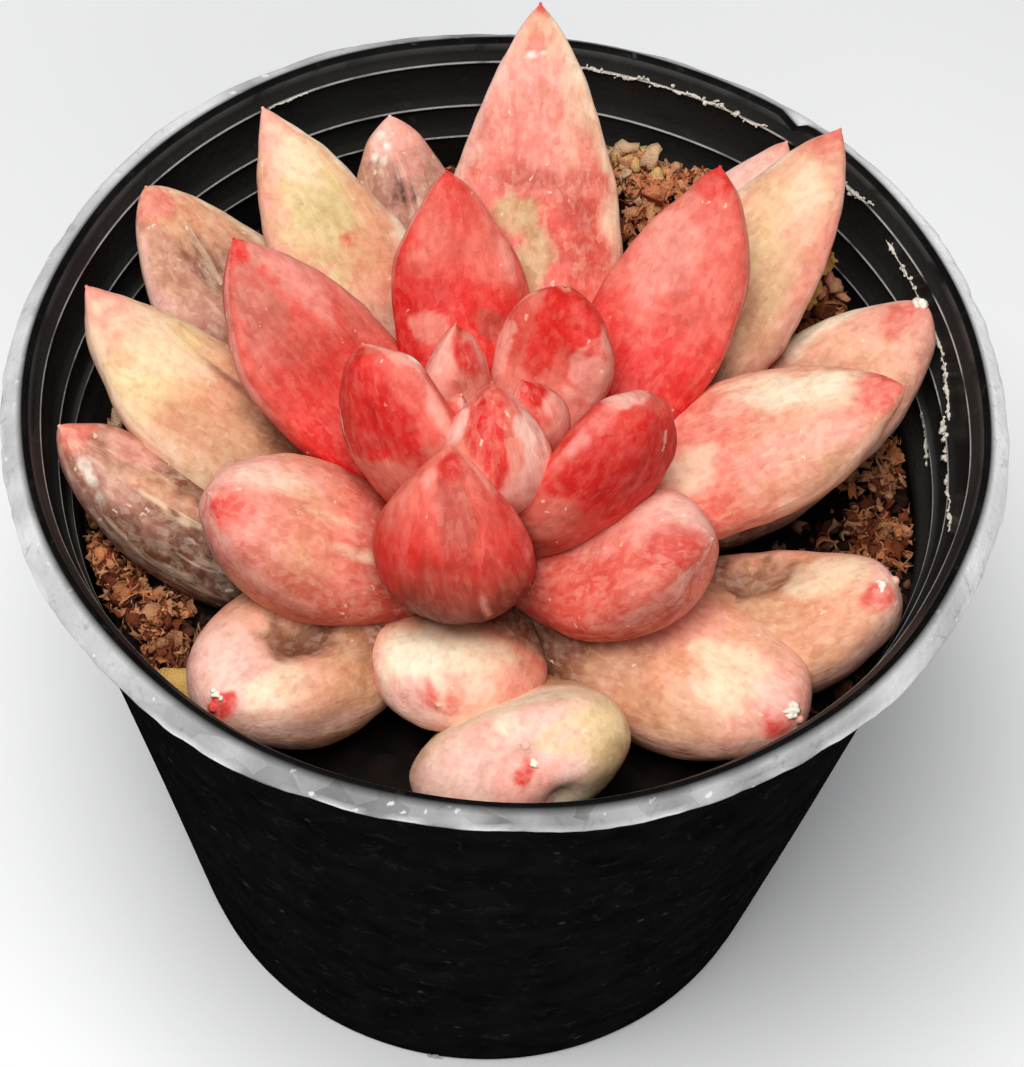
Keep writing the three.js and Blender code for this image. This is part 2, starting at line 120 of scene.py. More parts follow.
# Clumps of dry fibre scraps: x, y, spread, rise, how many, and their colours
SCRAP_CLUMPS = (
    (-36, -14.5, 3.2, 1.6, 90, "tan umber dust"),
    (-32.5, -17.5, 3, 2, 90, "tan umber dust bark"),
    (-29, -19.5, 3, 2.2, 80, "tan dust umber"),
    (-28.5, -23.5, 3, 2, 70, "tan dust umber"),
    (-35.5, -8, 4, 1, 40, "umber bark dust"),
    (-37, -2, 4, 1, 40, "umber bark dust"),
    (10, 35, 3.6, 2.4, 90, "straw cream dust"),
    (13, 32.5, 4.4, 2, 110, "tan dust apricot"),
    (17.5, 34, 4, 2, 100, "tan dust umber"),
    (11.5, 28.5, 3.4, 1.4, 60, "tan umber dust"),
    (7.5, 36.5, 3, 1.6, 50, "dust tan straw"),
    (30, 24.5, 4, 2, 90, "tan dust umber"),
    (27, 18.5, 3.6, 1.6, 70, "umber tan bark"),
    (35, 7, 4, 1.8, 90, "tan dust umber"),
    (36, -1, 4, 1.8, 90, "tan dust umber"),
    (33.5, -6, 4, 1.4, 60, "umber tan dust"),
    (35, 14, 3.6, 1.4, 50, "umber bark dust"),
    (-8, 36, 5, 1, 60, "umber bark dust"),
    (-30, 22, 5, 1, 50, "umber bark dust"),
)

# How much brighter the clumps' scraps are than their colours, how much more per millimetre towards
# the back, and how warm; then the pale lumps' own factors, and the palest that either may be
CLUMP_BRIGHTNESS = 1.35
# The added brightening towards the back is painted light, for the fuller light on the back of the soil.
BACK_BRIGHTENING = 0.018
WARMER = (1.15, 0.85, 0.66)
PALER = (1.3, 1.1, 0.95)
PALEST = 0.95

# Scraps that lie thinly over the rest of the soil
THIN_SCRAPS = 480

# Pale lumps on the clumps: x, y, rise, size and colour
PALE_LUMPS = (
    (8.6, 35.2, 2.8, 1.7, "straw"), (10.2, 34.6, 2.7, 1.9, "straw"), (11.8, 34.8, 2.8, 1.3, "cream"),
    (9.6, 33.4, 2.4, 1.4, "cream"), (12.6, 33.2, 2.4, 1.5, "straw"), (8, 33.6, 2.2, 1.2, "dust"),
    (14.4, 34.4, 2.2, 1.2, "dust"), (11, 36.2, 2.8, 1.2, "straw"), (7.6, 36.4, 2.4, 1.1, "cream"),
    (16.6, 33.2, 2, 1.1, "tan"), (13.4, 31.6, 1.8, 1.2, "dust"), (30.2, 29.1, 5, 1.1, "cream"),
    (31, 27.6, 2.8, 1.3, "straw"), (32.6, 26.6, 2.6, 1.1, "dust"), (-35.8, -0.1, 5, 1.6, "cream"),
    (31.2, 23.8, 3.2, 1.5, "blush"), (32.8, 24.2, 3.2, 1.4, "dust"),
    (30.2, 22.4, 3, 1.3, "cream"), (32.4, 22.4, 2.8, 1.2, "peach"), (32.4, 29.4, 4.2, 1.5, "straw"),
    (33.6, 28.2, 4.2, 1.4, "straw"), (31.2, 30.4, 4, 1.3, "cream"), (12.2, 35.6, 3.4, 2.1, "cream"),
    (9.2, 36, 3.6, 2.2, "cream"), (27.5, 20.4, 2, 1.2, "dust"), (29.3, 22.3, 2.2, 1.1, "blush"),
    (36.2, 3, 2, 1.1, "dust"),
)

# The golden flake's curls: x, y, rise, length, turn, lean and seed
GOLDEN_CURLS = (
    (31.2, 27, 3.6, 7, 100, 45, 79),
    (31.8, 27.2, 5, 6, 40, 60, 82),
    (30.6, 28.4, 5, 5, 150, 30, 83),
)

# The front of the soil, which lies in deep shade, stays bare
SCATTER_TURN = (math.radians(-52), math.radians(224))

# How finely a leaf is drawn: rows along it, crowded towards the tip, and points around it
LEAF_ROWS = 96
LEAF_POINTS = 80
TIP_CROWDING = 1.6

# How blurred a mark's edge is, how strong the painted highlight on a leaf's margin is, and the tip's nub
# radius, where a leaf doesn't say otherwise
SOFT_EDGE = 0.75
MARGIN_HIGHLIGHT = 0.4
NUB = 0.16

# Skin and soil colours, as they look in plain light; on the leaves wine, bark, umber and peat also serve
# as painted shade, and ivory, shell and bone as painted highlights in places
COLOURS = {
    "wine": (118, 24, 20),
    "crimson": (206, 26, 22),
    "scarlet": (224, 44, 38),
    "brick": (186, 70, 54),
    "coral": (226, 90, 76),
    "rose": (230, 122, 104),
    "blush": (244, 162, 146),
    "shell": (250, 196, 180),
    "peach": (238, 176, 142),
    "apricot": (224, 156, 118),
    "cream": (248, 220, 184),
    "ivory": (252, 236, 206),
    "straw": (236, 206, 146),
    "sage": (206, 184, 126),
    "tan": (202, 148, 108),
    "mauve": (188, 130, 110),
    "umber": (128, 76, 54),
    "bark": (70, 38, 24),
    "bone": (248, 240, 222),
    "chalk": (226, 220, 204),
    "olive": (198, 160, 112),
    "peat": (34, 20, 14),
    "dust": (206, 166, 132),
}

# Tones that darken to wine, bark or umber towards the stem are painted shade, where the leaves crowd in
# under one another. Some marks are painted light as well, each noted where it stands.
# Each leaf runs from its base on the stem to its tip. Its spine sags by bow and swings by sway at
# mid length, and nose is how far its end turns down. base_share is the share of the width at the
# stem, peak the place of the largest width, and blunt rounds the end. face turns the broad side.
# tones are colours along the leaf, and edges the colours of its left and right margins.
# marks are patches (along, around in degrees, reach along, reach across, colour, strength, and how
# blurred the edge is where it isn't soft), and dents are hollows (along, around, reach along, reach
# across, depth), bulges where depth is less than zero. cork is spots of it (along, around, size).
# around is 0 at the left margin, 90 on the upper side and 180 at the right margin.
LEAVES = [
    {"name": "heart_leaf_left", "base": [-2, -10, 76], "tip": [-5, -3, 86],
     "width": 7, "thick": 4.5, "bow": 1, "blunt": 1.15, "face": 150, "skin": "rose",
     "tones": [(0, "rose"), (0.45, "rose"), (0.65, "rose"), (0.85, "blush"), (0.95, "rose"),
               (1, "scarlet")],
     "edges": ("blush", "blush", 0.5),
     "marks": [(0.8, 86, 1.8, 1.5, "scarlet", 1, 0.6), (0.94, 88, 1, 0.3, "coral", 0.8, 0.4),
               (0.6, 66, 2, 1.6, "rose", 0.6)]},
    {"name": "heart_leaf_front", "base": [0, -12.5, 76], "tip": [-1.5, -10.5, 88],
     "width": 10, "thick": 7, "bow": 3, "blunt": 1.15, "keel": 1.8, "face": 270, "skin": "rose",
     "tones": [(0, "rose"), (0.5, "blush"), (0.7, "rose"), (0.9, "coral"), (1, "coral")],
     "edges": ("blush", "blush", 0.6),
     "marks": [(0.84, 266, 2.6, 1.4, "scarlet", 1, 0.3), (0.7, 279, 2.2, 1.2, "scarlet", 0.95, 0.3),
               (0.78, 256, 2, 1.1, "crimson", 0.6, 0.4), (0.8, 214, 5, 0.9, "shell", 0.85, 0.4),
               (0.66, 324, 5.4, 1.7, "shell", 0.9, 0.3), (0.5, 318, 3, 1.6, "blush", 0.8, 0.4)]},
    {"name": "heart_leaf_right", "base": [1.5, -10, 76.5], "tip": [1, -8.5, 86],
     "width": 7, "thick": 4, "bow": 1.5, "blunt": 1.2, "face": 310, "skin": "rose",
     "tones": [(0, "rose"), (0.6, "rose"), (0.8, "coral"), (1, "scarlet")],
     "edges": ("rose", "blush", 0.4),
     "marks": [(0.9, 288, 1.3, 1.4, "crimson", 0.9, 0.35), (0.7, 300, 2.2, 1.6, "blush", 0.8, 0.4)]},
    {"name": "heart_leaf_small", "base": [-2.5, -11, 76], "tip": [-4, -10.5, 86],
     "width": 4, "thick": 3, "bow": 1, "blunt": 1.2, "face": 200, "skin": "rose",
     "tones": [(0, "blush"), (0.7, "blush"), (1, "rose")],
     "edges": ("shell", "shell", 0.5),
     "marks": [(0.88, 300, 1, 0.8, "scarlet", 0.8)]},
    {"name": "inner_leaf_back", "base": [1, -7, 75], "tip": [4, 0.5, 88],
     "width": 11, "thick": 6, "bow": 2.5, "blunt": 1.05, "base_share": 0.6, "peak": 0.5,
     "face": 60, "skin": "coral",
     "tones": [(0, "blush"), (0.4, "rose"), (0.55, "coral"), (0.7, "scarlet"), (0.92, "scarlet"),
               (1, "rose")],
     "edges": ("rose", "rose", 0.6),
     "marks": [(0.72, 54, 2.6, 1.4, "coral", 0.9, 0.4), (0.53, 85, 2.4, 1.5, "scarlet", 0.7, 0.5),
               (0.56, 146, 3.2, 2.4, "blush", 0.9, 0.3),
               (0.86, 110, 2, 3.8, "scarlet", 1, 0.25), (0.43, 35, 3, 1.4, "blush", 0.9, 0.3),
               (0.86, 30, 2.4, 0.7, "rose", 0.7)]},
    {"name": "inner_leaf_left", "base": [-3.5, -13, 73], "tip": [-12.5, -7.5, 88],
     "width": 12, "thick": 7, "bow": 1.5, "sway": 1, "blunt": 1.4, "base_share": 0.7,
     "face": 240, "skin": "coral",
     "tones": [(0, "brick"), (0.35, "coral"), (0.5, "rose"), (0.57, "rose"), (0.59, "scarlet"),
               (0.8, "crimson"), (0.95, "scarlet"), (1, "coral")],
     "edges": ("rose", "scarlet", 0.5),
     "marks": [(0.67, 300, 3, 2.4, "crimson", 0.9, 0.5), (0.62, 355, 3, 0.8, "blush", 0.9),
               (0.86, 22, 2.6, 0.9, "blush", 0.9, 0.35), (0.975, 293, 0.9, 0.8, "crimson", 0.9),
               (0.8, 345, 3, 1.1, "coral", 0.8, 0.5), (0.73, 229, 1.9, 0.35, "ivory", 0.9, 0.4),
               (0.6, 240, 1.6, 0.3, "straw", 0.7, 0.4), (0.85, 26, 0.8, 0.45, "bone", 1, 0.3),
               (0.82, 262, 3, 1.6, "scarlet", 0.6), (0.48, 262, 2, 2.6, "rose", 0.8, 0.3)],
     "dents": [(0.86, 18, 2.5, 1.6, -0.7), (0.61, 280, 0.7, 4, 0.12)]},
    {"name": "inner_leaf_right", "base": [2, -14, 73], "tip": [11.5, -9, 86.5],
     "width": 13.5, "thick": 7, "bow": 1.5, "sway": -0.2, "blunt": 1.7, "base_share": 0.7,
     "face": 308, "skin": "coral",
     "tones": [(0, "wine"), (0.2, "brick"), (0.35, "coral"), (0.5, "scarlet"), (0.75, "crimson"),
               (0.93, "scarlet"), (1, "coral")],
     "edges": ("coral", "coral", 0.4),
     # The shell mark at 0.93 is a painted highlight near the tip, and the thin shell line at 283 degrees
     # a painted highlight along the edge.
     "marks": [(0.96, 135, 1.5, 2.4, "blush", 0.95, 0.35), (0.93, 165, 1.2, 1.5, "shell", 0.6, 0.4),
               (0.84, 188, 2.4, 1.6, "coral", 0.6), (0.67, 215, 3, 2.6, "crimson", 0.9),
               (0.56, 266, 3, 2, "crimson", 0.7), (0.33, 215, 2.6, 2.2, "rose", 0.7, 0.5),
               (0.86, 283, 4, 0.25, "shell", 0.9, 0.4)],
     "dents": [(0.88, 150, 3, 2.2, -0.6), (0.95, 310, 1.4, 1.4, -0.4)]},
    {"name": "inner_leaf_front", "base": [-1, -14, 70], "tip": [-4.5, -16.5, 87],
     "width": 14, "thick": 9.5, "bow": 5.5, "blunt": 1.2, "base_share": 0.6, "face": 262,
     "skin": "coral",
     "tones": [(0, "wine"), (0.45, "wine"), (0.56, "brick"), (0.7, "scarlet"), (0.85, "coral"),
               (1, "rose")],
     "edges": ("coral", "coral", 0.4),
     "marks": [(0.95, 290, 1.6, 1, "crimson", 0.9, 0.8), (0.83, 291, 4, 1.6, "brick", 0.8),
               (0.82, 220, 4, 1.8, "rose", 0.6), (0.84, 12, 3.4, 1.5, "rose", 0.6),
               (0.72, 352, 4, 1.8, "scarlet", 0.8), (0.69, 222, 3.4, 2, "scarlet", 0.8),
               (0.7, 290, 3, 2.4, "brick", 0.6), (0.54, 300, 2.4, 0.25, "blush", 0.8, 0.4),
               (0.92, 250, 2, 0.5, "blush", 0.6)],
     "dents": [(0.84, 290, 5, 1.2, 0.15)]},
    {"name": "middle_leaf_back", "base": [-1.5, -6.5, 72], "tip": [-7, 12.5, 88],
     "width": 12.5, "thick": 6.5, "bow": 2.5, "blunt": 1.2, "base_share": 0.7, "peak": 0.5,
     "skin": "coral",
     "tones": [(0, "crimson"), (0.4, "scarlet"), (0.6, "scarlet"), (0.75, "coral"),
               (0.9, "coral"), (1, "scarlet")],
     "edges": ("scarlet", "rose", 0.6),
     "marks": [(0.62, 66, 2.6, 1.8, "crimson", 0.8), (0.5, 20, 4, 2, "crimson", 0.8),
               (0.7, 120, 3, 2.6, "rose", 0.5), (0.475, 62, 1.8, 1.6, "rose", 1, 0.25),
               (0.435, 104, 1.6, 1.6, "brick", 0.9, 0.25), (0.68, 140, 3, 0.7, "blush", 0.6),
               (0.82, 60, 4, 2, "rose", 0.5), (0.9, 90, 2, 1.4, "scarlet", 0.4)]},
    {"name": "middle_leaf_left", "base": [-3.5, -10, 71], "tip": [-25, 5.5, 85],
     "width": 14, "thick": 7, "bow": 2.5, "sway": 0.5, "blunt": 1.15, "base_share": 0.6,
     "skin": "coral",
     "tones": [(0, "wine"), (0.3, "crimson"), (0.45, "scarlet"), (0.6, "coral"), (0.85, "coral"),
               (1, "scarlet")],
     "edges": ("coral", "blush", 0.6),
     "marks": [(0.93, 75, 2.6, 1.6, "scarlet", 0.7), (0.84, 122, 5, 2.2, "blush", 0.7),
               (0.82, 66, 4, 2.4, "mauve", 0.5), (0.64, 66, 5, 3, "brick", 0.6),
               (0.5, 60, 4, 4, "scarlet", 0.5), (0.6, 140, 4, 2, "rose", 0.6)]},
    {"name": "middle_leaf_back_right", "base": [3.5, -9, 71], "tip": [17, 16.5, 87],
     "width": 13, "thick": 7, "bow": 2.5, "sway": -1.5, "blunt": 1.2, "skin": "coral",
     "tones": [(0, "crimson"), (0.35, "crimson"), (0.45, "scarlet"), (0.6, "coral"), (0.8, "rose"),
               (0.94, "coral"), (1, "scarlet")],
     "edges": ("rose", "coral", 0.5),
     "marks": [(0.72, 72, 7, 3, "blush", 0.6), (0.78, 132, 6, 2, "coral", 0.7),
               (0.52, 45, 3, 3, "scarlet", 0.5), (0.44, 125, 4, 3.5, "scarlet", 0.5),
               (0.96, 90, 1.6, 1.4, "scarlet", 0.7)]},
    {"name": "middle_leaf_front_left", "base": [-3, -15.5, 69], "tip": [-24.5, -17.5, 79],
     "width": 15, "thick": 10.5, "bow": 2.5, "sway": 0.5, "nose": 1.5, "blunt": 1.9,
     "skin": "rose",
     "tones": [(0, "wine"), (0.35, "brick"), (0.5, "rose"), (0.7, "apricot"), (0.88, "blush"),
               (1, "blush")],
     "edges": ("brick", "blush", 0.5),
     # The ivory mark at 0.82 is a painted highlight on the upper side.
     "marks": [(0.965, 50, 2.2, 1.6, "scarlet", 0.8), (0.82, 108, 4, 1.6, "ivory", 0.7),
               (0.92, 150, 3, 3, "shell", 0.5), (0.62, 86, 4, 0.5, "cream", 0.6),
               (0.5, 66, 4, 0.4, "cream", 0.5), (0.72, 10, 8, 2.4, "brick", 0.5),
               (0.78, 70, 5, 3, "rose", 0.5), (0.66, 120, 4, 2, "blush", 0.5)]},
    {"name": "middle_leaf_front_right", "base": [1.5, -15.5, 69], "tip": [18, -17.5, 78],
     "width": 13.5, "thick": 10, "bow": 2.5, "sway": -0.5, "nose": 3, "blunt": 1.75,
     "skin": "rose",
     "tones": [(0, "brick"), (0.25, "coral"), (0.6, "coral"), (0.8, "rose"), (1, "rose")],
     "edges": ("blush", "brick", 0.5),
     "marks": [(0.86, 62, 5, 3.2, "shell", 0.8), (0.6, 90, 6, 1.6, "blush", 0.6),
               (0.93, 130, 2.8, 2.1, "crimson", 0.7), (0.5, 190, 9, 2, "brick", 0.6)],
     "dents": [(0.93, 200, 2.5, 2.5, 0.8)]},
    {"name": "outer_leaf_right", "base": [3, -11, 69], "tip": [34, -2, 81],
     "width": 14.5, "thick": 9, "bow": 2, "sway": 0.9, "blunt": 1.25, "base_share": 0.6,
     "skin": "peach",
     "tones": [(0, "brick"), (0.3, "rose"), (0.5, "rose"), (0.75, "peach"), (0.9, "peach"),
               (1, "coral")],
     "edges": ("blush", "apricot", 0.5),
     "marks": [(0.74, 66, 7, 1.7, "ivory", 0.8), (0.86, 84, 3, 1.3, "ivory", 0.5),
               (0.55, 78, 3, 2, "rose", 0.6), (0.6, 45, 3, 1.2, "cream", 0.6),
               (0.4, 105, 3, 2.4, "cream", 0.7), (0.5, 150, 8, 2.2, "coral", 0.5),
               (0.955, 95, 3, 1.9, "coral", 0.9), (0.88, 122, 2.4, 1.4, "coral", 0.5),
               (0.72, 122, 7, 2, "blush", 0.6), (0.7, 150, 7, 1.6, "tan", 0.4)]},
    {"name": "outer_leaf_tall", "base": [1, -6.5, 69], "tip": [0, 30, 92],
     "width": 16.2, "thick": 7, "bow": 4, "sway": -0.5, "blunt": 1.15, "base_share": 0.8,
     "peak": 0.45, "skin": "peach",
     "tones": [(0, "brick"), (0.4, "coral"), (0.55, "coral"), (0.66, "rose"), (0.8, "rose"),
               (0.89, "blush"), (0.93, "peach"), (0.98, "peach"), (1, "coral")],
     # The pale margins are partly the leaf's own colour and partly painted highlight where its rounded
     # edges catch the light.
     "edges": ("shell", "cream", 0.8),
     "marks": [(0.84, 140, 8, 1.5, "cream", 0.6), (0.8, 40, 8, 1.2, "shell", 0.4),
               (0.915, 86, 1.4, 1.3, "rose", 0.9), (0.77, 88, 7, 3, "blush", 0.4),
               (0.64, 80, 1.6, 3, "brick", 0.8), (0.6, 118, 3, 2, "brick", 0.5),
               (0.56, 78, 2.6, 2.2, "olive", 0.9), (0.48, 90, 3.5, 1.6, "olive", 0.9),
               # The two small bone marks near 0.9 are painted highlights.
               (0.5, 125, 4, 2.2, "brick", 0.5), (0.9, 76, 0.3, 0.5, "bone", 0.8),
               (0.905, 96, 0.3, 0.35, "bone", 0.8), (0.72, 60, 4, 2, "coral", 0.3)],
     "dents": [(0.7, 90, 12, 2, 0.35)]},
    {"name": "outer_leaf_back_right", "base": [3, -7.5, 67], "tip": [28.5, 27, 82],
     "width": 14, "thick": 7, "bow": 2.5, "sway": -1, "blunt": 1.2, "skin": "cream",
     "tones": [(0, "umber"), (0.4, "umber"), (0.5, "tan"), (0.62, "olive"), (0.78, "peach"),
               (0.92, "peach"), (1, "rose")],
     "edges": ("ivory", "blush", 0.7),
     "marks": [(0.7, 85, 8, 2.6, "straw", 0.4), (0.75, 152, 9, 1.2, "rose", 0.5),
               (0.97, 90, 2.4, 2, "rose", 0.7), (0.86, 100, 4, 1.8, "cream", 0.5),
               (0.58, 110, 3, 3, "tan", 0.5)]},
    {"name": "outer_leaf_back_left", "base": [-3, -7.5, 67], "tip": [-25, 26, 80],
     "width": 14, "thick": 7, "bow": 3, "sway": -1, "blunt": 1.15, "base_share": 0.6,
     "peak": 0.5, "skin": "cream",
     "tones": [(0, "brick"), (0.4, "mauve"), (0.55, "apricot"), (0.66, "apricot"), (0.74, "straw"),
               (0.9, "peach"), (1, "blush")],
     "edges": ("blush", "ivory", 0.9),
     "marks": [(0.78, 76, 8, 3.6, "straw", 0.8), (0.73, 84, 9, 3.2, "sage", 0.65),
               (0.55, 104, 4, 3, "rose", 0.5, 0.4), (0.7, 136, 5, 1.6, "apricot", 0.8),
               (0.648, 92, 0.7, 0.6, "coral", 0.7), (0.95, 40, 4, 1.4, "blush", 0.8),
               (0.87, 95, 3, 2, "cream", 0.7), (0.84, 30, 6, 1.2, "blush", 0.6)]},
    {"name": "outer_leaf_left", "base": [-4.5, -11, 66], "tip": [-38.5, 5.5, 77],
     "width": 14, "thick": 8, "bow": 3, "sway": 2, "blunt": 1.2, "base_share": 0.6,
     "skin": "cream",
     "tones": [(0, "umber"), (0.4, "umber"), (0.5, "tan"), (0.65, "apricot"), (0.78, "straw"),
               (0.9, "peach"), (1, "rose")],
     "edges": ("cream", "ivory", 0.7),
     "marks": [(0.94, 80, 3, 2.6, "blush", 0.6), (0.8, 92, 6, 3.2, "cream", 0.6),
               # The umber marks round 110 degrees are painted shade: a dark line in the fold, and the
               # shadow of middle_leaf_left lower down.
               (0.6, 110, 6, 0.45, "umber", 0.6, 0.5), (0.44, 110, 4, 3, "umber", 0.6),
               (0.58, 60, 5, 2, "tan", 0.4)],
     "dents": [(0.64, 116, 7, 0.7, 0.35)]},
    {"name": "low_leaf_right", "base": [3, -11, 64], "tip": [37.7, 14.8, 72.4],
     "width": 15.5, "thick": 8, "bow": 2, "sway": -2, "blunt": 1.7, "base_share": 0.5,
     "nub": 0.3, "skin": "peach",
     "cork": [(0.996, 70, 1), (0.993, 45, 0.8), (0.993, 100, 0.8), (0.986, 75, 0.8),
              (0.988, 58, 0.7), (0.988, 100, 0.6)],
     "tones": [(0, "bark"), (0.5, "umber"), (0.65, "mauve"), (0.8, "peach"), (1, "blush")],
     # The mauve right margin is painted shade, where outer_leaf_right shades it.
     "edges": ("ivory", "mauve", 0.7),
     "marks": [(0.85, 25, 8, 1.6, "ivory", 0.8), (0.93, 84, 2.2, 1.6, "coral", 0.7),
               (0.7, 100, 6, 2, "apricot", 0.5)]},
    {"name": "low_leaf_back_left", "base": [-4, -8, 64], "tip": [-35.5, 20.5, 74],
     "width": 15.5, "thick": 7, "bow": 2, "sway": 0.5, "blunt": 1.5, "base_share": 0.6,
     "skin": "mauve",
     "tones": [(0, "bark"), (0.55, "umber"), (0.7, "mauve"), (0.84, "tan"), (0.94, "apricot"),
               (1, "cream")],
     "edges": ("shell", "cream", 0.8),
     # The umber and bark marks along the creases, from 0.72 to 0.83, are painted shade in them.
     "marks": [(0.95, 80, 2.2, 2, "rose", 0.8), (0.825, 90, 2, 0.7, "umber", 0.8),
               (0.79, 76, 2.4, 0.7, "umber", 0.8), (0.73, 84, 4, 0.8, "bark", 0.7),
               (0.83, 115, 3, 1.8, "apricot", 0.7),
               (0.72, 100, 4, 2.4, "umber", 0.5), (0.83, 62, 4, 1.6, "mauve", 0.6)],
     "dents": [(0.8, 82, 4, 1.1, 0.8), (0.72, 84, 4, 1.2, 0.8)]},
    {"name": "low_leaf_back", "base": [-2, -6.5, 64], "tip": [-13.5, 30, 76],
     "width": 13.5, "thick": 6, "bow": 2, "blunt": 1.4, "skin": "mauve",
     "tones": [(0, "bark"), (0.6, "umber"), (0.78, "mauve"), (0.88, "mauve"), (0.95, "blush"),
               (1, "shell")],
     "edges": ("tan", "blush", 0.6),
     # The peat lines along the crease are painted shade in it.
     "marks": [(0.83, 84, 3, 0.3, "peat", 0.9), (0.8, 96, 2.4, 0.25, "peat", 0.8),
               (0.82, 74, 2, 0.2, "peat", 0.7), (0.93, 60, 1.8, 1.5, "shell", 0.6),
               (0.92, 72, 0.5, 0.4, "bone", 0.9), (0.95, 56, 0.4, 0.4, "bone", 0.9),
               (0.9, 50, 0.4, 0.3, "bone", 0.9), (0.885, 66, 0.4, 0.3, "bone", 0.8),
               (0.82, 60, 3, 1, "umber", 0.4), (0.88, 100, 3, 1.5, "blush", 0.5)],
     "dents": [(0.82, 86, 3, 0.5, 0.5)]},
    {"name": "low_leaf_left", "base": [-4.5, -14, 64], "tip": [-39.5, -6.5, 72],
     "width": 11.5, "thick": 9, "bow": 3, "sway": 3, "blunt": 1.4, "base_share": 0.7,
     "skin": "mauve",
     "tones": [(0, "bark"), (0.5, "bark"), (0.68, "umber"), (0.8, "mauve"), (0.92, "mauve"),
               (0.97, "rose"), (1, "blush")],
     "edges": ("umber", "blush", 0.6),
     "marks": [(0.8, 88, 7, 1.1, "tan", 0.7), (0.72, 80, 5, 0.8, "peach", 0.5),
               (0.9, 45, 0.8, 0.5, "bone", 0.7), (0.87, 36, 0.6, 0.4, "bone", 0.7),
               (0.83, 26, 0.4, 0.4, "bone", 0.6), (0.7, 8, 12, 2, "bark", 0.6),
               (0.96, 84, 2, 1.8, "rose", 0.5), (0.73, 73, 4, 0.2, "cream", 0.7, 0.4),
               (0.87, 100, 3, 1.5, "umber", 0.5),
               (0.63, 70, 2, 0.25, "cream", 0.6), (0.84, 110, 3, 1.2, "blush", 0.5)],
     "dents": [(0.9, 150, 4, 2, -0.8), (0.89, 42, 1, 0.8, 0.25)]},
    {"name": "low_leaf_front_middle", "base": [-1, -15.5, 65], "tip": [-4, -31, 70],
     "width": 15.5, "thick": 9, "bow": 2, "nose": 2, "blunt": 2.2, "skin": "cream",
     "tones": [(0, "bark"), (0.45, "umber"), (0.56, "apricot"), (0.75, "cream"), (1, "shell")],
     "edges": ("peach", "blush", 0.6),
     "marks": [(0.985, 100, 1.6, 1.9, "coral", 0.9), (0.84, 115, 3, 3.6, "ivory", 0.9),
               (0.75, 20, 4, 2, "rose", 0.7), (0.93, 230, 2, 2, "shell", 0.5),
               (0.9, 60, 3, 2, "apricot", 0.3)]},
    {"name": "low_leaf_front_right", "base": [1, -12, 65], "tip": [26.5, -29, 69],
     "width": 17, "thick": 10.2, "bow": 2, "sway": 0.2, "blunt": 1.9, "nub": 0.4,
     "cork": [(0.987, 98, 0.9), (0.984, 82, 0.7), (0.99, 116, 0.7), (0.98, 92, 0.6),
              (0.98, 106, 0.6), (0.993, 84, 0.7), (0.993, 104, 0.6)],
     "skin": "cream",
     "tones": [(0, "bark"), (0.4, "umber"), (0.52, "mauve"), (0.65, "apricot"), (0.8, "peach"),
               (1, "blush")],
     "edges": ("peach", "apricot", 0.4),
     "marks": [(0.62, 75, 4, 3, "blush", 0.5), (0.8, 95, 3.6, 3, "cream", 0.9),
               (0.5, 130, 4, 3, "tan", 0.5), (0.978, 132, 2, 1.2, "scarlet", 0.9),
               (0.75, 150, 4, 2, "tan", 0.4), (0.94, 90, 2, 2, "shell", 0.6)]},
    {"name": "low_leaf_front_left", "base": [-3.5, -14.5, 64], "tip": [-22.5, -33.5, 71],
     "width": 15.5, "thick": 11, "bow": 2.5, "sway": -1.5, "nose": 2, "blunt": 2, "nub": 0.4,
     "cork": [(0.992, 100, 0.7), (0.992, 80, 0.5), (0.988, 112, 0.45)], "skin": "peach",
     "tones": [(0, "bark"), (0.45, "umber"), (0.6, "tan"), (0.74, "peach"), (0.9, "shell"),
               (1, "shell")],
     "edges": ("tan", "blush", 0.5),
     "marks": [(0.9, 130, 3.4, 3.2, "shell", 0.7), (0.86, 60, 4, 1.8, "cream", 0.7),
               # The umber and bark marks near 90 degrees at 0.62 and 0.64 are painted shadow in the
               # saddle under middle_leaf_front_left.
               (0.996, 55, 1.6, 1.2, "scarlet", 0.95, 0.5), (0.62, 92, 5, 3, "umber", 0.8),
               (0.64, 88, 2.4, 1.6, "bark", 0.5), (0.66, 130, 4, 2, "mauve", 0.5),
               (0.74, 45, 4, 1.6, "apricot", 0.5)],
     "dents": [(0.66, 88, 4.5, 3.2, 2.8), (0.75, 40, 4, 1.6, -0.5), (0.72, 335, 5, 3, -0.8)]},
    {"name": "low_leaf_right_front", "base": [3, -14, 63], "tip": [34.5, -15.5, 71],
     "width": 15, "thick": 9.5, "bow": 3, "sway": -3, "blunt": 2.4, "base_share": 0.6,
     "nub": 0.45, "cork": [(0.978, 112, 0.8), (0.974, 104, 0.5), (0.975, 122, 0.5)], "skin": "peach",
     "tones": [(0, "bark"), (0.5, "umber"), (0.65, "tan"), (0.8, "apricot"), (0.92, "peach"),
               (1, "shell")],
     "edges": ("blush", "mauve", 0.6),
     # The umber mark at 0.6 is painted shade in the hollow of the upper side.
     "marks": [(0.6, 62, 6, 2.4, "umber", 0.8), (0.86, 75, 3.4, 2.2, "cream", 0.8),
               (0.957, 122, 1.8, 1.2, "coral", 0.9), (0.62, 140, 7, 3, "tan", 0.5),
               (0.78, 130, 5, 2, "apricot", 0.5)],
     "dents": [(0.62, 66, 5.5, 2, 2), (0.72, 20, 5, 1, -0.5)]},
    {"name": "lowest_leaf_front", "base": [1.5, -17, 60], "tip": [3.5, -36, 73],
     "width": 19, "thick": 10.5, "bow": 4, "roll": -18, "blunt": 3.2, "base_share": 0.25,
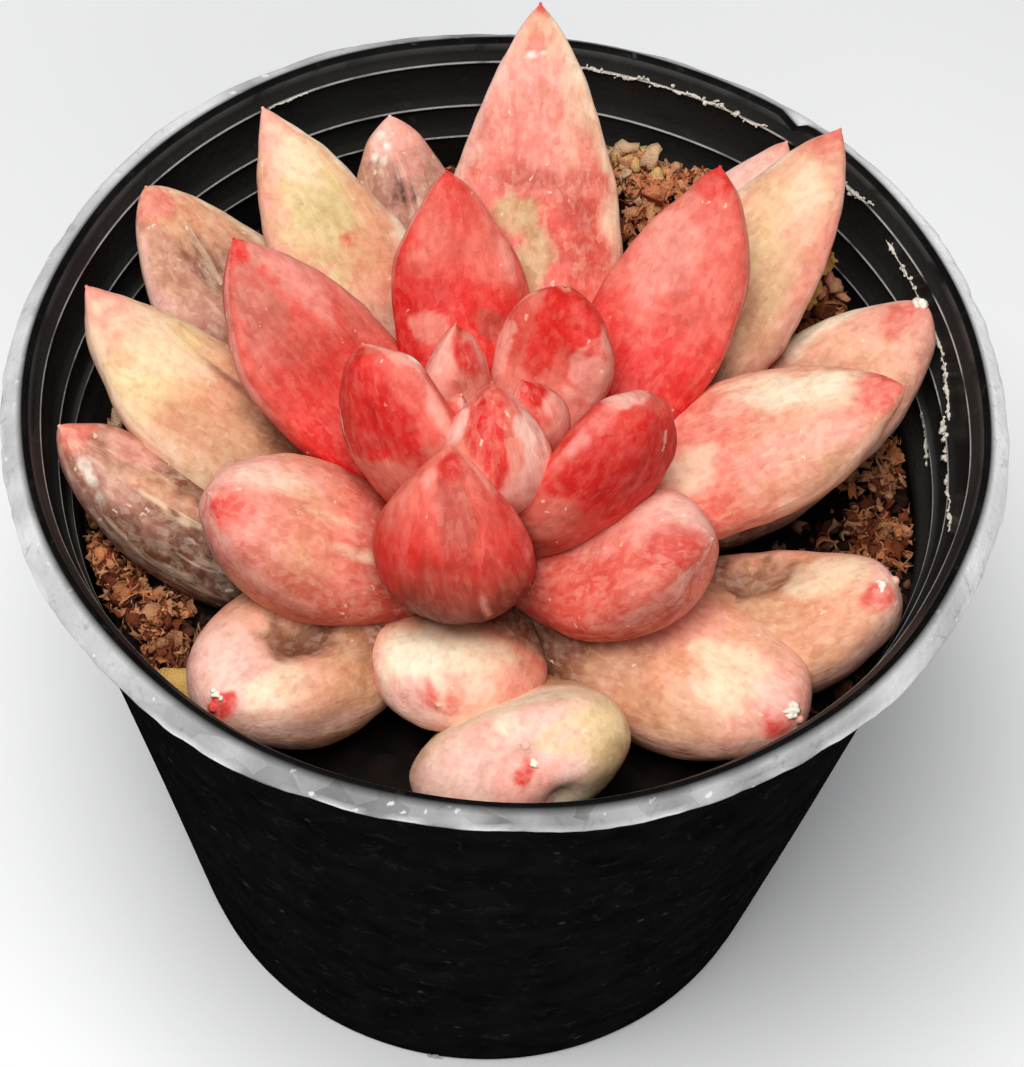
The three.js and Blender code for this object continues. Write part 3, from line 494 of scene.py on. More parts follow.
     "peak": 0.78, "nub": 0.5, "cork": [(0.999, 280, 0.95)], "skin": "cream",
     "tones": [(0, "bark"), (0.5, "tan"), (0.75, "cream"), (0.9, "cream"), (1, "shell")],
     "edges": ("straw", "mauve", 0.5),
     "marks": [(0.96, 190, 3, 4, "shell", 0.6), (0.99, 262, 3.4, 2.6, "blush", 0.9),
               (0.997, 256, 1.9, 0.9, "scarlet", 0.9, 0.6), (0.99, 130, 3, 1.6, "blush", 0.6),
               (0.93, 350, 4, 3.4, "straw", 0.7), (0.82, 90, 3, 5, "ivory", 0.8),
               (0.9, 322, 4, 2.4, "olive", 0.8)],
     "dents": [(0.9, 205, 4, 4, -0.8), (0.93, 284, 2, 2, 1)]},
    {"name": "lowest_leaf_back_right", "base": [2, -7.5, 64], "tip": [24.5, 32.5, 74],
     "width": 12.5, "thick": 6, "bow": 2, "blunt": 1.3, "skin": "mauve",
     "tones": [(0, "umber"), (0.7, "mauve"), (0.88, "shell"), (1, "blush")],
     "edges": ("ivory", "blush", 0.6),
     "marks": [(0.9, 60, 4, 1.4, "shell", 0.6)]},
]

leaf_draw = np.random.default_rng(11)
soil_draw = np.random.default_rng(23)
crust_draw = np.random.default_rng(37)


def colour(name):
    """A named colour as linear red, green and blue."""
    share = np.array(COLOURS[name], float) / 255
    return np.where(share <= 0.04045, share / 12.92, ((share + 0.055) / 1.055) ** 2.4)


def lumps(points, size, seed):
    """Smooth swells between about -1 and 1, a size apart, at each point."""
    draw = np.random.default_rng(seed)
    total = np.zeros(len(points))
    waves = 12
    for _ in range(waves):
        heading = draw.normal(size=3)
        heading *= draw.uniform(0.7, 1.4) * 2 * math.pi / size / np.linalg.norm(heading)
        total += np.sin(points @ heading + draw.uniform(0, 2 * math.pi))
    return total / math.sqrt(waves)


def smooth(value):
    held = np.clip(value, 0, 1)
    return held * held * (3 - 2 * held)


# Node trees

def socket_named(owner, words):
    """The node's input whose name is the words, joined with underscores."""
    return next(socket for socket in owner.inputs
                if socket.name.lower() == words.replace("_", " "))


def fill(tree, owner, words, value):
    """Links a socket to an input of the node, or sets the input to a plain value."""
    if isinstance(value, bpy.types.NodeSocket):
        tree.links.new(value, socket_named(owner, words))
    else:
        socket_named(owner, words).default_value = value


def node(tree, kind, **values):
    """A node of a kind, with values for its settings and its named input sockets."""
    made = tree.nodes.new(kind)
    for key, value in values.items():
        if key in made.bl_rna.properties:
            setattr(made, key, value)
        else:
            fill(tree, made, key, value)
    return made


def maths(tree, operation, first, second=None, third=None, clamp=False):
    made = tree.nodes.new("ShaderNodeMath")
    made.operation = operation
    made.use_clamp = clamp
    for slot, value in enumerate((first, second, third)):
        if value is None:
            continue
        if isinstance(value, bpy.types.NodeSocket):
            tree.links.new(value, made.inputs[slot])
        else:
            made.inputs[slot].default_value = value
    return made.outputs[0]


def mixed(tree, share, first, second, blend="MIX"):
    """The two colours mixed by a share."""
    made = tree.nodes.new("ShaderNodeMix")
    made.data_type = "RGBA"
    made.blend_type = blend
    for slot, value in ((0, share), (6, first), (7, second)):
        if isinstance(value, bpy.types.NodeSocket):
            tree.links.new(value, made.inputs[slot])
        elif slot == 0:
            made.inputs[slot].default_value = value
        else:
            made.inputs[slot].default_value = (*value, 1)
    return made.outputs[2]


def ranged(tree, value, low, high, to_low=0.0, to_high=1.0):
    made = tree.nodes.new("ShaderNodeMapRange")
    made.clamp = True
    tree.links.new(value, made.inputs[0])
    for slot, number in ((1, low), (2, high), (3, to_low), (4, to_high)):
        if isinstance(number, bpy.types.NodeSocket):
            tree.links.new(number, made.inputs[slot])
        else:
            made.inputs[slot].default_value = number
    return made.outputs[0]


def new_group(name, inputs, outputs):
    """An empty shader group, with its input and output nodes."""
    tree = bpy.data.node_groups.new(name, "ShaderNodeTree")
    for label, kind, value in inputs:
        socket = tree.interface.new_socket(label, in_out="INPUT", socket_type=kind)
        if value is not None:
            socket.default_value = value
    for label, kind in outputs:
        tree.interface.new_socket(label, in_out="OUTPUT", socket_type=kind)
    return tree, tree.nodes.new("NodeGroupInput").outputs, tree.nodes.new("NodeGroupOutput").inputs


def place_group(tree, group, **values):
    made = tree.nodes.new("ShaderNodeGroup")
    made.node_tree = group
    for key, value in values.items():
        fill(tree, made, key, value)
    return made.outputs


def noise(tree, place, scale, detail=2.0, roughness=0.5, distortion=0.0):
    made = node(tree, "ShaderNodeTexNoise", detail=detail, roughness=roughness,
                distortion=distortion)
    tree.links.new(place, made.inputs["Vector"])
    if isinstance(scale, bpy.types.NodeSocket):
        tree.links.new(scale, made.inputs["Scale"])
    else:
        made.inputs["Scale"].default_value = scale
    return made.outputs["Fac"]


def make_cloudy_tone():
    """Broad soft patches: how much lighter or darker a place is, from -1 to 1."""
    tree, given, put = new_group(
        "Cloudy Tone",
        [("Place", "NodeSocketVector", None), ("Patches Per Unit", "NodeSocketFloat", 0.3)],
        [("Tone", "NodeSocketFloat")])
    broad = noise(tree, given["Place"], given["Patches Per Unit"], 3, 0.6, 0.4)
    tone = ranged(tree, broad, 0.3, 0.7, -1, 1)
    tree.links.new(tone, put["Tone"])
    return tree


def make_patchy_tone():
    """Small brush-like patches with clear edges: how light or dark each is, from -1 to 1."""
    tree, given, put = new_group(
        "Patchy Tone",
        [("Place", "NodeSocketVector", None), ("Patches Per Unit", "NodeSocketFloat", 2.0)],
        [("Tone", "NodeSocketFloat")])
    squeeze = node(tree, "ShaderNodeMapping", vector_type="POINT")
    squeeze.inputs["Scale"].default_value = (0.6, 1, 1)
    tree.links.new(given["Place"], squeeze.inputs["Vector"])
    sway = node(tree, "ShaderNodeTexNoise", detail=1.0)
    tree.links.new(squeeze.outputs["Vector"], sway.inputs["Vector"])
    tree.links.new(given["Patches Per Unit"], sway.inputs["Scale"])
    away = node(tree, "ShaderNodeVectorMath", operation="MULTIPLY_ADD")
    tree.links.new(sway.outputs["Color"], away.inputs[0])
    away.inputs[1].default_value = (0.5, 0.5, 0.5)
    tree.links.new(squeeze.outputs["Vector"], away.inputs[2])
    cells = tree.nodes.new("ShaderNodeTexVoronoi")
    tree.links.new(away.outputs[0], cells.inputs["Vector"])
    tree.links.new(given["Patches Per Unit"], cells.inputs["Scale"])
    parts = tree.nodes.new("ShaderNodeSeparateColor")
    tree.links.new(cells.outputs["Color"], parts.inputs[0])
    tree.links.new(ranged(tree, parts.outputs[0], 0, 1, -1, 1), put["Tone"])
    return tree


def make_pale_fleck():
    """Short scattered flecks, as a mask. Share is how many of the places hold one."""
    tree, given, put = new_group(
        "Pale Fleck",
        [("Place", "NodeSocketVector", None), ("Flecks Per Unit", "NodeSocketFloat", 1.5),
         ("Share", "NodeSocketFloat", 0.2)],
        [("Mask", "NodeSocketFloat")])
    sway = node(tree, "ShaderNodeTexNoise", detail=1.0)
    tree.links.new(given["Place"], sway.inputs["Vector"])
    sway.inputs["Scale"].default_value = 1.7
    away = node(tree, "ShaderNodeVectorMath", operation="MULTIPLY_ADD")
    tree.links.new(sway.outputs["Color"], away.inputs[0])
    away.inputs[1].default_value = (1.2, 0.7, 0.7)
    tree.links.new(given["Place"], away.inputs[2])
    dots = tree.nodes.new("ShaderNodeTexVoronoi")
    tree.links.new(away.outputs[0], dots.inputs["Vector"])
    tree.links.new(given["Flecks Per Unit"], dots.inputs["Scale"])
    parts = tree.nodes.new("ShaderNodeSeparateColor")
    tree.links.new(dots.outputs["Color"], parts.inputs[0])
    held = maths(tree, "LESS_THAN", parts.outputs[0], given["Share"])
    dot = ranged(tree, dots.outputs["Distance"], 0.34, 0.2, 0, 1)
    tree.links.new(maths(tree, "MULTIPLY", held, dot), put["Mask"])
    return tree


def make_long_wrinkle():
    """Faint wrinkles that run along the first axis of the place, as a height from 0 to 1."""
    tree, given, put = new_group(
        "Long Wrinkle",
        [("Place", "NodeSocketVector", None), ("Lines Per Unit", "NodeSocketFloat", 1.2)],
        [("Height", "NodeSocketFloat")])
    squeeze = node(tree, "ShaderNodeMapping", vector_type="POINT")
    squeeze.inputs["Scale"].default_value = (0.16, 1, 1)
    tree.links.new(given["Place"], squeeze.inputs["Vector"])
    lines = noise(tree, squeeze.outputs["Vector"], given["Lines Per Unit"], 3, 0.55, 0.6)
    tree.links.new(ranged(tree, lines, 0.3, 0.7), put["Height"])
    return tree


def make_rubbed_scuff():
    """Short scratches and rubbed spots, as a mask."""
    tree, given, put = new_group(
        "Rubbed Scuff",
        [("Place", "NodeSocketVector", None), ("Spots Per Unit", "NodeSocketFloat", 0.5),
         ("Amount", "NodeSocketFloat", 0.5)],
        [("Mask", "NodeSocketFloat")])
    spots = noise(tree, given["Place"], given["Spots Per Unit"], 4, 0.72, 0.8)
    least = maths(tree, "SUBTRACT", 0.8, maths(tree, "MULTIPLY", given["Amount"], 0.5))
    most = maths(tree, "ADD", least, 0.12)
    tree.links.new(ranged(tree, spots, least, most), put["Mask"])
    return tree


CLOUDY_TONE = make_cloudy_tone()
PATCHY_TONE = make_patchy_tone()
PALE_FLECK = make_pale_fleck()
LONG_WRINKLE = make_long_wrinkle()
RUBBED_SCUFF = make_rubbed_scuff()


def new_material(name, roughness, **values):
    """A material with one Principled BSDF: its tree and the shader."""
    material = bpy.data.materials.new(name)
    material.use_nodes = True
    tree = material.node_tree
    tree.nodes.clear()
    shader = tree.nodes.new("ShaderNodeBsdfPrincipled")
    out = tree.nodes.new("ShaderNodeOutputMaterial")
    tree.links.new(shader.outputs[0], out.inputs["Surface"])
    shader.inputs["Roughness"].default_value = roughness
    for key, value in values.items():
        fill(tree, shader, key, value)
    return material, tree, shader


def attribute(tree, name, output):
    made = tree.nodes.new("ShaderNodeAttribute")
    made.attribute_type = "GEOMETRY"
    made.attribute_name = name
    return made.outputs[output]


def bumped(tree, shader, height, strength, distance):
    """Feeds a height to the shader's normal."""
    bump = node(tree, "ShaderNodeBump", strength=strength, distance=distance)
    tree.links.new(height, bump.inputs["Height"])
    tree.links.new(bump.outputs["Normal"], shader.inputs["Normal"])


def millimetres(tree):
    """The surface's place in millimetres."""
    coordinates = tree.nodes.new("ShaderNodeTexCoord")
    grow = node(tree, "ShaderNodeVectorMath", operation="SCALE")
    grow.inputs["Scale"].default_value = 1 / MM
    tree.links.new(coordinates.outputs["Object"], grow.inputs[0])
    return grow.outputs[0]


def make_leaf_skin(name, cloud, bloom, streak, flecks):
    """Powdery skin over the painted tint: cloudy patches, pale bloom, streaks and flecks."""
    material, tree, shader = new_material(name, 0.52, specular_ior_level=0.22)
    tint = attribute(tree, "tint", "Color")
    place = attribute(tree, "leaf_place", "Vector")
    tone = place_group(tree, CLOUDY_TONE, place=place, patches_per_unit=0.35)["Tone"]
    spots = place_group(tree, CLOUDY_TONE, place=place, patches_per_unit=1.1)["Tone"]
    patch = place_group(tree, PATCHY_TONE, place=place, patches_per_unit=1.9)["Tone"]
    wrinkle = place_group(tree, LONG_WRINKLE, place=place, lines_per_unit=1.1)["Height"]
    fleck = place_group(tree, PALE_FLECK, place=place, flecks_per_unit=1.5, share=flecks)["Mask"]
    shaded = mixed(tree, maths(tree, "MULTIPLY", tone, -cloud, clamp=True), tint,
                   (0.6, 0.42, 0.36), "MULTIPLY")
    bloomed = mixed(tree, maths(tree, "MULTIPLY", tone, bloom, clamp=True), shaded,
                    colour("shell"))
    spotted = mixed(tree, maths(tree, "MULTIPLY", spots, -cloud * 0.9, clamp=True), bloomed,
                    (0.62, 0.42, 0.36), "MULTIPLY")
    dusted = mixed(tree, maths(tree, "MULTIPLY", spots, bloom * 0.8, clamp=True), spotted,
                   colour("cream"))
    brushed = mixed(tree, maths(tree, "MULTIPLY", patch, -cloud * 0.7, clamp=True), dusted,
                    (0.66, 0.5, 0.44), "MULTIPLY")
    powdered = mixed(tree, maths(tree, "MULTIPLY", patch, bloom * 0.7, clamp=True), brushed,
                     colour("ivory"))
    streaked = mixed(tree, ranged(tree, wrinkle, 0.66, 1, 0, streak), powdered, colour("cream"))
    flecked = mixed(tree, maths(tree, "MULTIPLY", fleck, 0.45), streaked, colour("ivory"))
    tree.links.new(flecked, shader.inputs["Base Color"])
    tree.links.new(ranged(tree, patch, -1, 1, 0.6, 0.48), shader.inputs["Roughness"])
    bumped(tree, shader, maths(tree, "MULTIPLY", wrinkle, 0.5), 0.45, 0.0002)
    return material


def make_pot_plastic():
    """Black plastic, with a rubbed grey band painted lighter at the sides as painted light, a painted
    highlight on the band's outer edge, pale lines painted on the lip and ledges as their highlights, a
    grey strip just above the soil, and painted sheen on the inner wall.
    """
    material, tree, shader = new_material(
        "pot_plastic", 0.5, specular_ior_level=0.0, coat_roughness=0.3, coat_ior=1.3)
    place = millimetres(tree)
    band = attribute(tree, "band", "Fac")
    band_shade = attribute(tree, "band_shade", "Fac")
    band_edge = attribute(tree, "band_edge", "Fac")
    line = attribute(tree, "line", "Fac")
    haze = attribute(tree, "haze", "Fac")
    gloss = attribute(tree, "gloss", "Fac")
    tone = place_group(tree, CLOUDY_TONE, place=place, patches_per_unit=0.22)["Tone"]
    fine = place_group(tree, CLOUDY_TONE, place=place, patches_per_unit=1.4)["Tone"]
    worn_parts = place_group(tree, PATCHY_TONE, place=place, patches_per_unit=0.4)["Tone"]
    chips = place_group(tree, PALE_FLECK, place=place, flecks_per_unit=1.1, share=0.12)["Mask"]
    specks = place_group(tree, PALE_FLECK, place=place, flecks_per_unit=0.8, share=0.012)["Mask"]
    scuff = place_group(tree, RUBBED_SCUFF, place=place, spots_per_unit=0.5, amount=0.45)["Mask"]
    black = mixed(tree, ranged(tree, tone, -1, 1, 0, 1), (0.0036, 0.0035, 0.0035),
                  (0.0082, 0.008, 0.0078))
    specked = mixed(tree, maths(tree, "MULTIPLY", specks, 0.15), black, (0.2, 0.2, 0.19))
    scuffed = mixed(tree, maths(tree, "MULTIPLY", scuff, 0.05), specked, (0.2, 0.2, 0.19))
    # The grey strip above the soil, and the painted sheen on the inner wall.
    hazed = mixed(tree, maths(tree, "MULTIPLY", haze, 0.9), scuffed, (0.09, 0.088, 0.083))
    # The pale lines on the lip and ledges: painted highlights.
    lined = mixed(tree, maths(tree, "MULTIPLY", line, 0.9), hazed, (0.8, 0.79, 0.76))
    # The grey band, with the painted light that lightens it on the left and the right.
    rubbed = mixed(tree, band_shade, (0.15, 0.15, 0.147), (0.9, 0.9, 0.89))
    pieced = mixed(tree, ranged(tree, worn_parts, -1, 1, 0, 0.2), rubbed, (0.8, 0.8, 0.79))
    clouded = mixed(tree, ranged(tree, fine, -1, 1, 0.12, 0), pieced, (0.16, 0.16, 0.158))
    scraped = mixed(tree, maths(tree, "MULTIPLY", scuff, 0.4), clouded, (0.14, 0.14, 0.138))
    chipped = mixed(tree, maths(tree, "MULTIPLY", chips, 0.7), scraped, (0.85, 0.85, 0.84))
    # The painted highlight along the band's outer edge.
    edged = mixed(tree, band_edge, chipped, (0.86, 0.86, 0.85))
    banded = mixed(tree, band, lined, edged)
    tree.links.new(banded, shader.inputs["Base Color"])
    matt = maths(tree, "MAXIMUM", maths(tree, "MAXIMUM", band, line), haze)
    tree.links.new(ranged(tree, matt, 0, 1, 0.42, 0.65), shader.inputs["Roughness"])
    shine = maths(tree, "MULTIPLY", gloss, maths(tree, "SUBTRACT", 1, matt, clamp=True))
    tree.links.new(shine, shader.inputs["Coat Weight"])
    relief = maths(tree, "ADD", maths(tree, "MULTIPLY", fine, 0.3),
                   maths(tree, "MULTIPLY", chips, 0.6))
    bumped(tree, shader, relief, 0.35, 0.0002)
    return material


def make_crumbly(name, roughness, depth, pale, shade):
    """Earthy matter over the painted tint: rough, broken in tone, with pale torn fibres."""
    material, tree, shader = new_material(name, roughness, specular_ior_level=0.2)
    place = millimetres(tree)
    tint = attribute(tree, "tint", "Color")
    tone = place_group(tree, CLOUDY_TONE, place=place, patches_per_unit=0.9)["Tone"]
    fine = place_group(tree, CLOUDY_TONE, place=place, patches_per_unit=3.2)["Tone"]
    fibre = place_group(tree, CLOUDY_TONE, place=place, patches_per_unit=6)["Tone"]
    dark = mixed(tree, maths(tree, "MULTIPLY", tone, -shade, clamp=True), tint, (0.3, 0.22, 0.18),
                 "MULTIPLY")
    torn = mixed(tree, ranged(tree, fibre, 0.4, 1, 0, pale), dark, (3, 2.7, 2.3), "MULTIPLY")
    tree.links.new(torn, shader.inputs["Base Color"])
    relief = maths(tree, "ADD", fine, fibre)
    bumped(tree, shader, relief, 0.6, depth)
    return material


def make_floor_paint():
    material, tree, shader = new_material("pale_floor", 0.7, specular_ior_level=0.1)
    tone = place_group(tree, CLOUDY_TONE, place=millimetres(tree), patches_per_unit=0.01)["Tone"]
    shade = mixed(tree, ranged(tree, tone, -1, 1, 0, 1), (0.95, 0.95, 0.95), (0.97, 0.97, 0.97))
    tree.links.new(shade, shader.inputs["Base Color"])
    return material


SKINS = {
    "coral": make_leaf_skin("leaf_coral", 0.36, 0.06, 0.04, 0.025),
    "rose": make_leaf_skin("leaf_rose", 0.34, 0.14, 0.1, 0.02),
    "peach": make_leaf_skin("leaf_peach", 0.34, 0.16, 0.14, 0.02),
    "cream": make_leaf_skin("leaf_cream", 0.3, 0.14, 0.12, 0.015),
    "mauve": make_leaf_skin("leaf_mauve", 0.34, 0.18, 0.3, 0.08),
}
POT_PLASTIC = make_pot_plastic()
SOIL_MATTER = make_crumbly("bark_soil", 0.95, 0.0005, 0.3, 0.6)
STEM_BARK = make_crumbly("stem_bark", 0.85, 0.0003, 0.35, 0.6)
PEBBLE_STONE = make_crumbly("pebble_stone", 0.8, 0.0003, 0.15, 0.2)
DRY_FLAKE = make_crumbly("dry_flake", 0.75, 0.0003, 0.4, 0.4)
LIME_CRUST = make_crumbly("lime_crust", 0.9, 0.0003, 0.1, 0.2)


# Meshes

def make_object(name, points, faces, material, slot=None, replaces=(), **fields):
    """A smooth shaded mesh object in the frame's place, with its fields as point attributes."""
    mesh = bpy.data.meshes.new(name)
    mesh.from_pydata((np.asarray(points) * MM).tolist(), [], faces)
    mesh.validate()
    for key, values in fields.items():
        values = np.asarray(values, float)
        if values.ndim == 1:
            field = mesh.attributes.new(key, "FLOAT", "POINT")
            field.data.foreach_set("value", values)
        elif key == "tint":
            field = mesh.attributes.new(key, "FLOAT_COLOR", "POINT")
            rgba = np.concatenate([values, np.ones((len(values), 1))], axis=1)
            field.data.foreach_set("color", rgba.ravel())
        else:
            field = mesh.attributes.new(key, "FLOAT_VECTOR", "POINT")
            field.data.foreach_set("vector", values.ravel())
    mesh.shade_smooth()
    mesh.materials.append(material)
    piece = bpy.data.objects.new(name, mesh)
    bpy.context.collection.objects.link(piece)
    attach(piece, "root")
    for named in replaces:
        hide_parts(named)
    return piece


def tube_faces(rows, around, first=0):
    """Quads between rings of points that follow one another."""
    faces = []
    for row in range(rows - 1):
        for step in range(around):
            beside = (step + 1) % around
            a = first + row * around
            faces.append((a + step, a + beside, a + around + beside, a + around + step))
    return faces


def outline_share(share, base_share, peak, blunt):
    """The share of the full width along a leaf, from 0 at the stem to 1 at the tip."""
    to_peak = np.minimum(share / peak, 1)
    rise = base_share + (1 - base_share) * np.sin(to_peak * math.pi / 2) ** 1.2
    past = np.maximum((share - peak) / (1 - peak), 0)
    return rise * np.maximum(1 - past ** 2, 0) ** (1 / blunt)


def leaf_frame(leaf, share):
    """The spine's points and its directions: along it, to its upper side and to its left."""
    base = np.array(leaf["base"], float)
    chord = np.array(leaf["tip"], float) - base
    azimuth = math.radians(leaf["face"]) if "face" in leaf else math.atan2(chord[1], chord[0])
    side = np.array([-math.sin(azimuth), math.cos(azimuth), 0.0])
    side -= chord * (side @ chord) / (chord @ chord)
    side /= np.linalg.norm(side)
    upper = np.cross(chord, side)
    upper /= np.linalg.norm(upper)
    roll = math.radians(leaf.get("roll", 0))
    rolled = side * math.cos(roll) - upper * math.sin(roll)
    bow = leaf.get("bow", 0)
    sway = leaf.get("sway", 0)
    nose = leaf.get("nose", 0)
    arch = 4 * share * (1 - share)
    slope = 4 - 8 * share
    drop = -bow * arch + nose * (share - share ** 6)
    spine = base + np.outer(share, chord) + np.outer(drop, upper) + np.outer(sway * arch, side)
    turn = -bow * slope + nose * (1 - 6 * share ** 5) / 2
    along = chord + np.outer(turn, upper) + np.outer(sway * slope, side)
    along /= np.linalg.norm(along, axis=1, keepdims=True)
    left = rolled - along * (along @ rolled)[:, None]
    left /= np.linalg.norm(left, axis=1, keepdims=True)
    return spine, along, np.cross(along, left), left


def leaf_section(leaf, share, angle):
    """Half sizes of the leaf across and up, at shares along it and angles round it."""
    base_share = leaf.get("base_share", 0.5)
    peak = leaf.get("peak", 0.55)
    power = leaf.get("keel", 2.1)
    nub = leaf.get("nub", NUB)
    half_width = leaf["width"] / 2 * outline_share(share, base_share, peak, leaf["blunt"])
    thick_base = min(base_share + 0.08, 1)
    half_thick = leaf["thick"] / 2 * outline_share(share, thick_base, peak, leaf["blunt"] * 1.2)
    cosine = np.cos(angle)
    sine = np.sin(angle)
    across = np.sign(cosine) * np.abs(cosine) ** (2 / power)
    height = np.sign(sine) * np.abs(sine) ** (2 / power)
    fullness = np.where(height > 0, 0.8, 1.2)
    return np.maximum(half_width, nub) * across, np.maximum(half_thick, nub) * height * fullness


def patch_weight(leaf, length, straight, mark, wobble):
    """How far a patch reaches each point: 1 in its middle and 0 outside it."""
    share, around, reach_along, reach_across = mark[:4]
    across, height = leaf_section(leaf, np.array([share]), np.array([math.radians(around)]))
    along_gap = (straight[:, 0] - share * length) / reach_along
    side_gap = np.hypot(straight[:, 1] - across[0], straight[:, 2] - height[0]) / reach_across
    return np.hypot(along_gap, side_gap) + wobble


def leaf_tint(leaf, length, share, straight, margin, seed):
    """The painted colour of each point."""
    wobble = lumps(straight, 5, seed) * 0.16 + lumps(straight, 1.8, seed + 1) * 0.1
    drift = share + wobble * 0.09
    # The tones along the leaf, whose dark ends near the stem are painted shade.
    stops = [stop for stop, _ in leaf["tones"]]
    shades = np.array([colour(name) for _, name in leaf["tones"]])
    tint = np.stack([np.interp(drift, stops, shades[:, band]) for band in range(3)], axis=1)
    left_name, right_name, strength = leaf["edges"]
    for side, name in ((1, left_name), (-1, right_name)):
        rim = smooth((margin * side - 0.72 + wobble * 0.4) / 0.26) * strength
        rim *= smooth((share - 0.35) / 0.25)
        tint += (colour(name) - tint) * rim[:, None]
    # A thin pale line along both margins: a painted highlight on the leaf's rounded edges.
    line = smooth((np.abs(margin) - 0.975) / 0.02) * smooth((share - 0.45) / 0.2) * MARGIN_HIGHLIGHT
    tint += (colour("shell") - tint) * line[:, None]
    for mark in leaf["marks"]:
        gap = patch_weight(leaf, length, straight, mark, wobble * 1.6)
        blur = mark[6] if len(mark) > 6 else SOFT_EDGE
        weight = smooth((1 + blur / 2 - gap) / blur) * mark[5]
        tint += (colour(mark[4]) - tint) * weight[:, None]
    return np.clip(tint, 0, 1)


def make_leaf(leaf, seed):
    """One leaf in high detail, which stands for the solid of the same name."""
    step = np.arange(LEAF_ROWS) / LEAF_ROWS
    rows = 1 - (1 - step) ** TIP_CROWDING
    angles = np.arange(LEAF_POINTS) * 2 * math.pi / LEAF_POINTS
    share = np.repeat(rows, LEAF_POINTS)
    angle = np.tile(angles, LEAF_ROWS)
    spine, along, up, left = leaf_frame(leaf, share)
    across, height = leaf_section(leaf, share, angle)
    points = spine + left * across[:, None] + up * height[:, None]
    length = float(np.linalg.norm(np.subtract(leaf["tip"], leaf["base"])))
    straight = np.stack([share * length, across, height], axis=1)

    nub = leaf.get("nub", NUB)
    rise = np.array([0.3, 0.6, 0.85])
    end_spine, end_along, end_up, end_left = (part[-LEAF_POINTS:] for part in (spine, along, up, left))
    nub_points = []
    nub_straight = []
    for height_share in rise:
        round_share = math.sqrt(1 - height_share ** 2)
        ring_across = nub * round_share * np.cos(angles)
        ring_height = nub * round_share * np.sin(angles)
        reach = nub * height_share
        nub_points.append(end_spine + end_along * reach + end_left * ring_across[:, None]
                          + end_up * ring_height[:, None])
        nub_straight.append(np.stack([np.full(LEAF_POINTS, length + reach), ring_across,
                                      ring_height], axis=1))
    points = np.concatenate([points, *nub_points])
    straight = np.concatenate([straight, *nub_straight])
    share = np.concatenate([share, np.ones(3 * LEAF_POINTS)])
    angle = np.concatenate([angle, np.tile(angles, 3)])
    all_rows = LEAF_ROWS + len(rise)

    grid = points.reshape(all_rows, LEAF_POINTS, 3)
    down_leaf = np.gradient(grid, axis=0)
    round_leaf = np.roll(grid, -1, axis=1) - np.roll(grid, 1, axis=1)
    normal = np.cross(round_leaf, down_leaf).reshape(-1, 3)
    normal /= np.linalg.norm(normal, axis=1, keepdims=True) + 1e-12
    outward = np.sign(((points - points.mean(0)) * normal).sum())
    normal *= outward

    body = smooth((1 - share) / 0.06)
    swell = lumps(straight, 9, seed + 2) * 0.16 + lumps(straight, 3.2, seed + 3) * 0.04
    lines = straight * (0.14, 1, 1)
    calm = smooth((1 - share) / 0.3)
    swell += (lumps(lines, 1.7, seed + 4) * 0.03 + lumps(lines, 0.9, seed + 5) * 0.012) * calm
    push = swell * body
    for dent in leaf.get("dents", ()):
        gap = patch_weight(leaf, length, straight, dent, 0)
        push -= dent[4] * np.exp(-gap ** 2 * 1.2)
    points = points + normal * push[:, None]

    tint = leaf_tint(leaf, length, share, straight, np.cos(angle), seed + 7)
    tip = end_spine[0] + end_along[0] * nub
    foot = np.array(leaf["base"], float)
    points = np.concatenate([points, [foot, tip]])
    straight = np.concatenate([straight, [[0, 0, 0], [length + nub, 0, 0]]])
    tint = np.concatenate([tint, [tint[0], tint[-1]]])

    faces = tube_faces(all_rows, LEAF_POINTS)
    foot_index = all_rows * LEAF_POINTS
    last_row = foot_index - LEAF_POINTS
    for point in range(LEAF_POINTS):
        beside = (point + 1) % LEAF_POINTS
        faces.append((foot_index, beside, point))
        faces.append((last_row + point, last_row + beside, foot_index + 1))
    if outward < 0:
        faces = [face[::-1] for face in faces]
    for number, (spot_share, around, size) in enumerate(leaf.get("cork", ())):
        nearest = np.argmin(np.abs(share - spot_share) * 400
                            + np.abs(angle - math.radians(around)))
        shape, shape_faces = crumb(size, seed + 60 + number)
        faces += [tuple(corner + len(points) for corner in face) for face in shape_faces]
        points = np.concatenate([points, shape + points[nearest]])
        straight = np.concatenate([straight, shape + straight[nearest]])
        tint = np.concatenate([tint, even_tint(shape, "bone", 0.08, leaf_draw)])
    offset = leaf_draw.uniform(0, 400, 3)
    make_object(leaf["name"] + "_skin", points, faces, SKINS[leaf["skin"]],
                slot="leaf_" + leaf["skin"], replaces=[leaf["name"]],
                tint=tint, leaf_place=straight + offset)


def wall_radius(z):
    shoulder_z = POT_HEIGHT - SHOULDER_DROP
    if z <= shoulder_z:
        return BASE_RADIUS + (SHOULDER_RADIUS - BASE_RADIUS) * z / shoulder_z
    band_foot = RIM_RADIUS - BAND_OVERHANG
    return SHOULDER_RADIUS + (band_foot - SHOULDER_RADIUS) * (z - shoulder_z) / (SHOULDER_DROP - 2)


def inner_radius(z):
    return min(wall_radius(z), RIM_RADIUS - BAND_WIDTH - LIP_WIDTH + WALL) - WALL


def arc(centre, radius, start, end, steps):
    """Points of an arc in the profile's plane, angles in degrees."""
    turns = np.radians(np.linspace(start, end, steps))
    return [(centre[0] + radius * math.cos(turn), centre[1] + radius * math.sin(turn))
            for turn in turns]


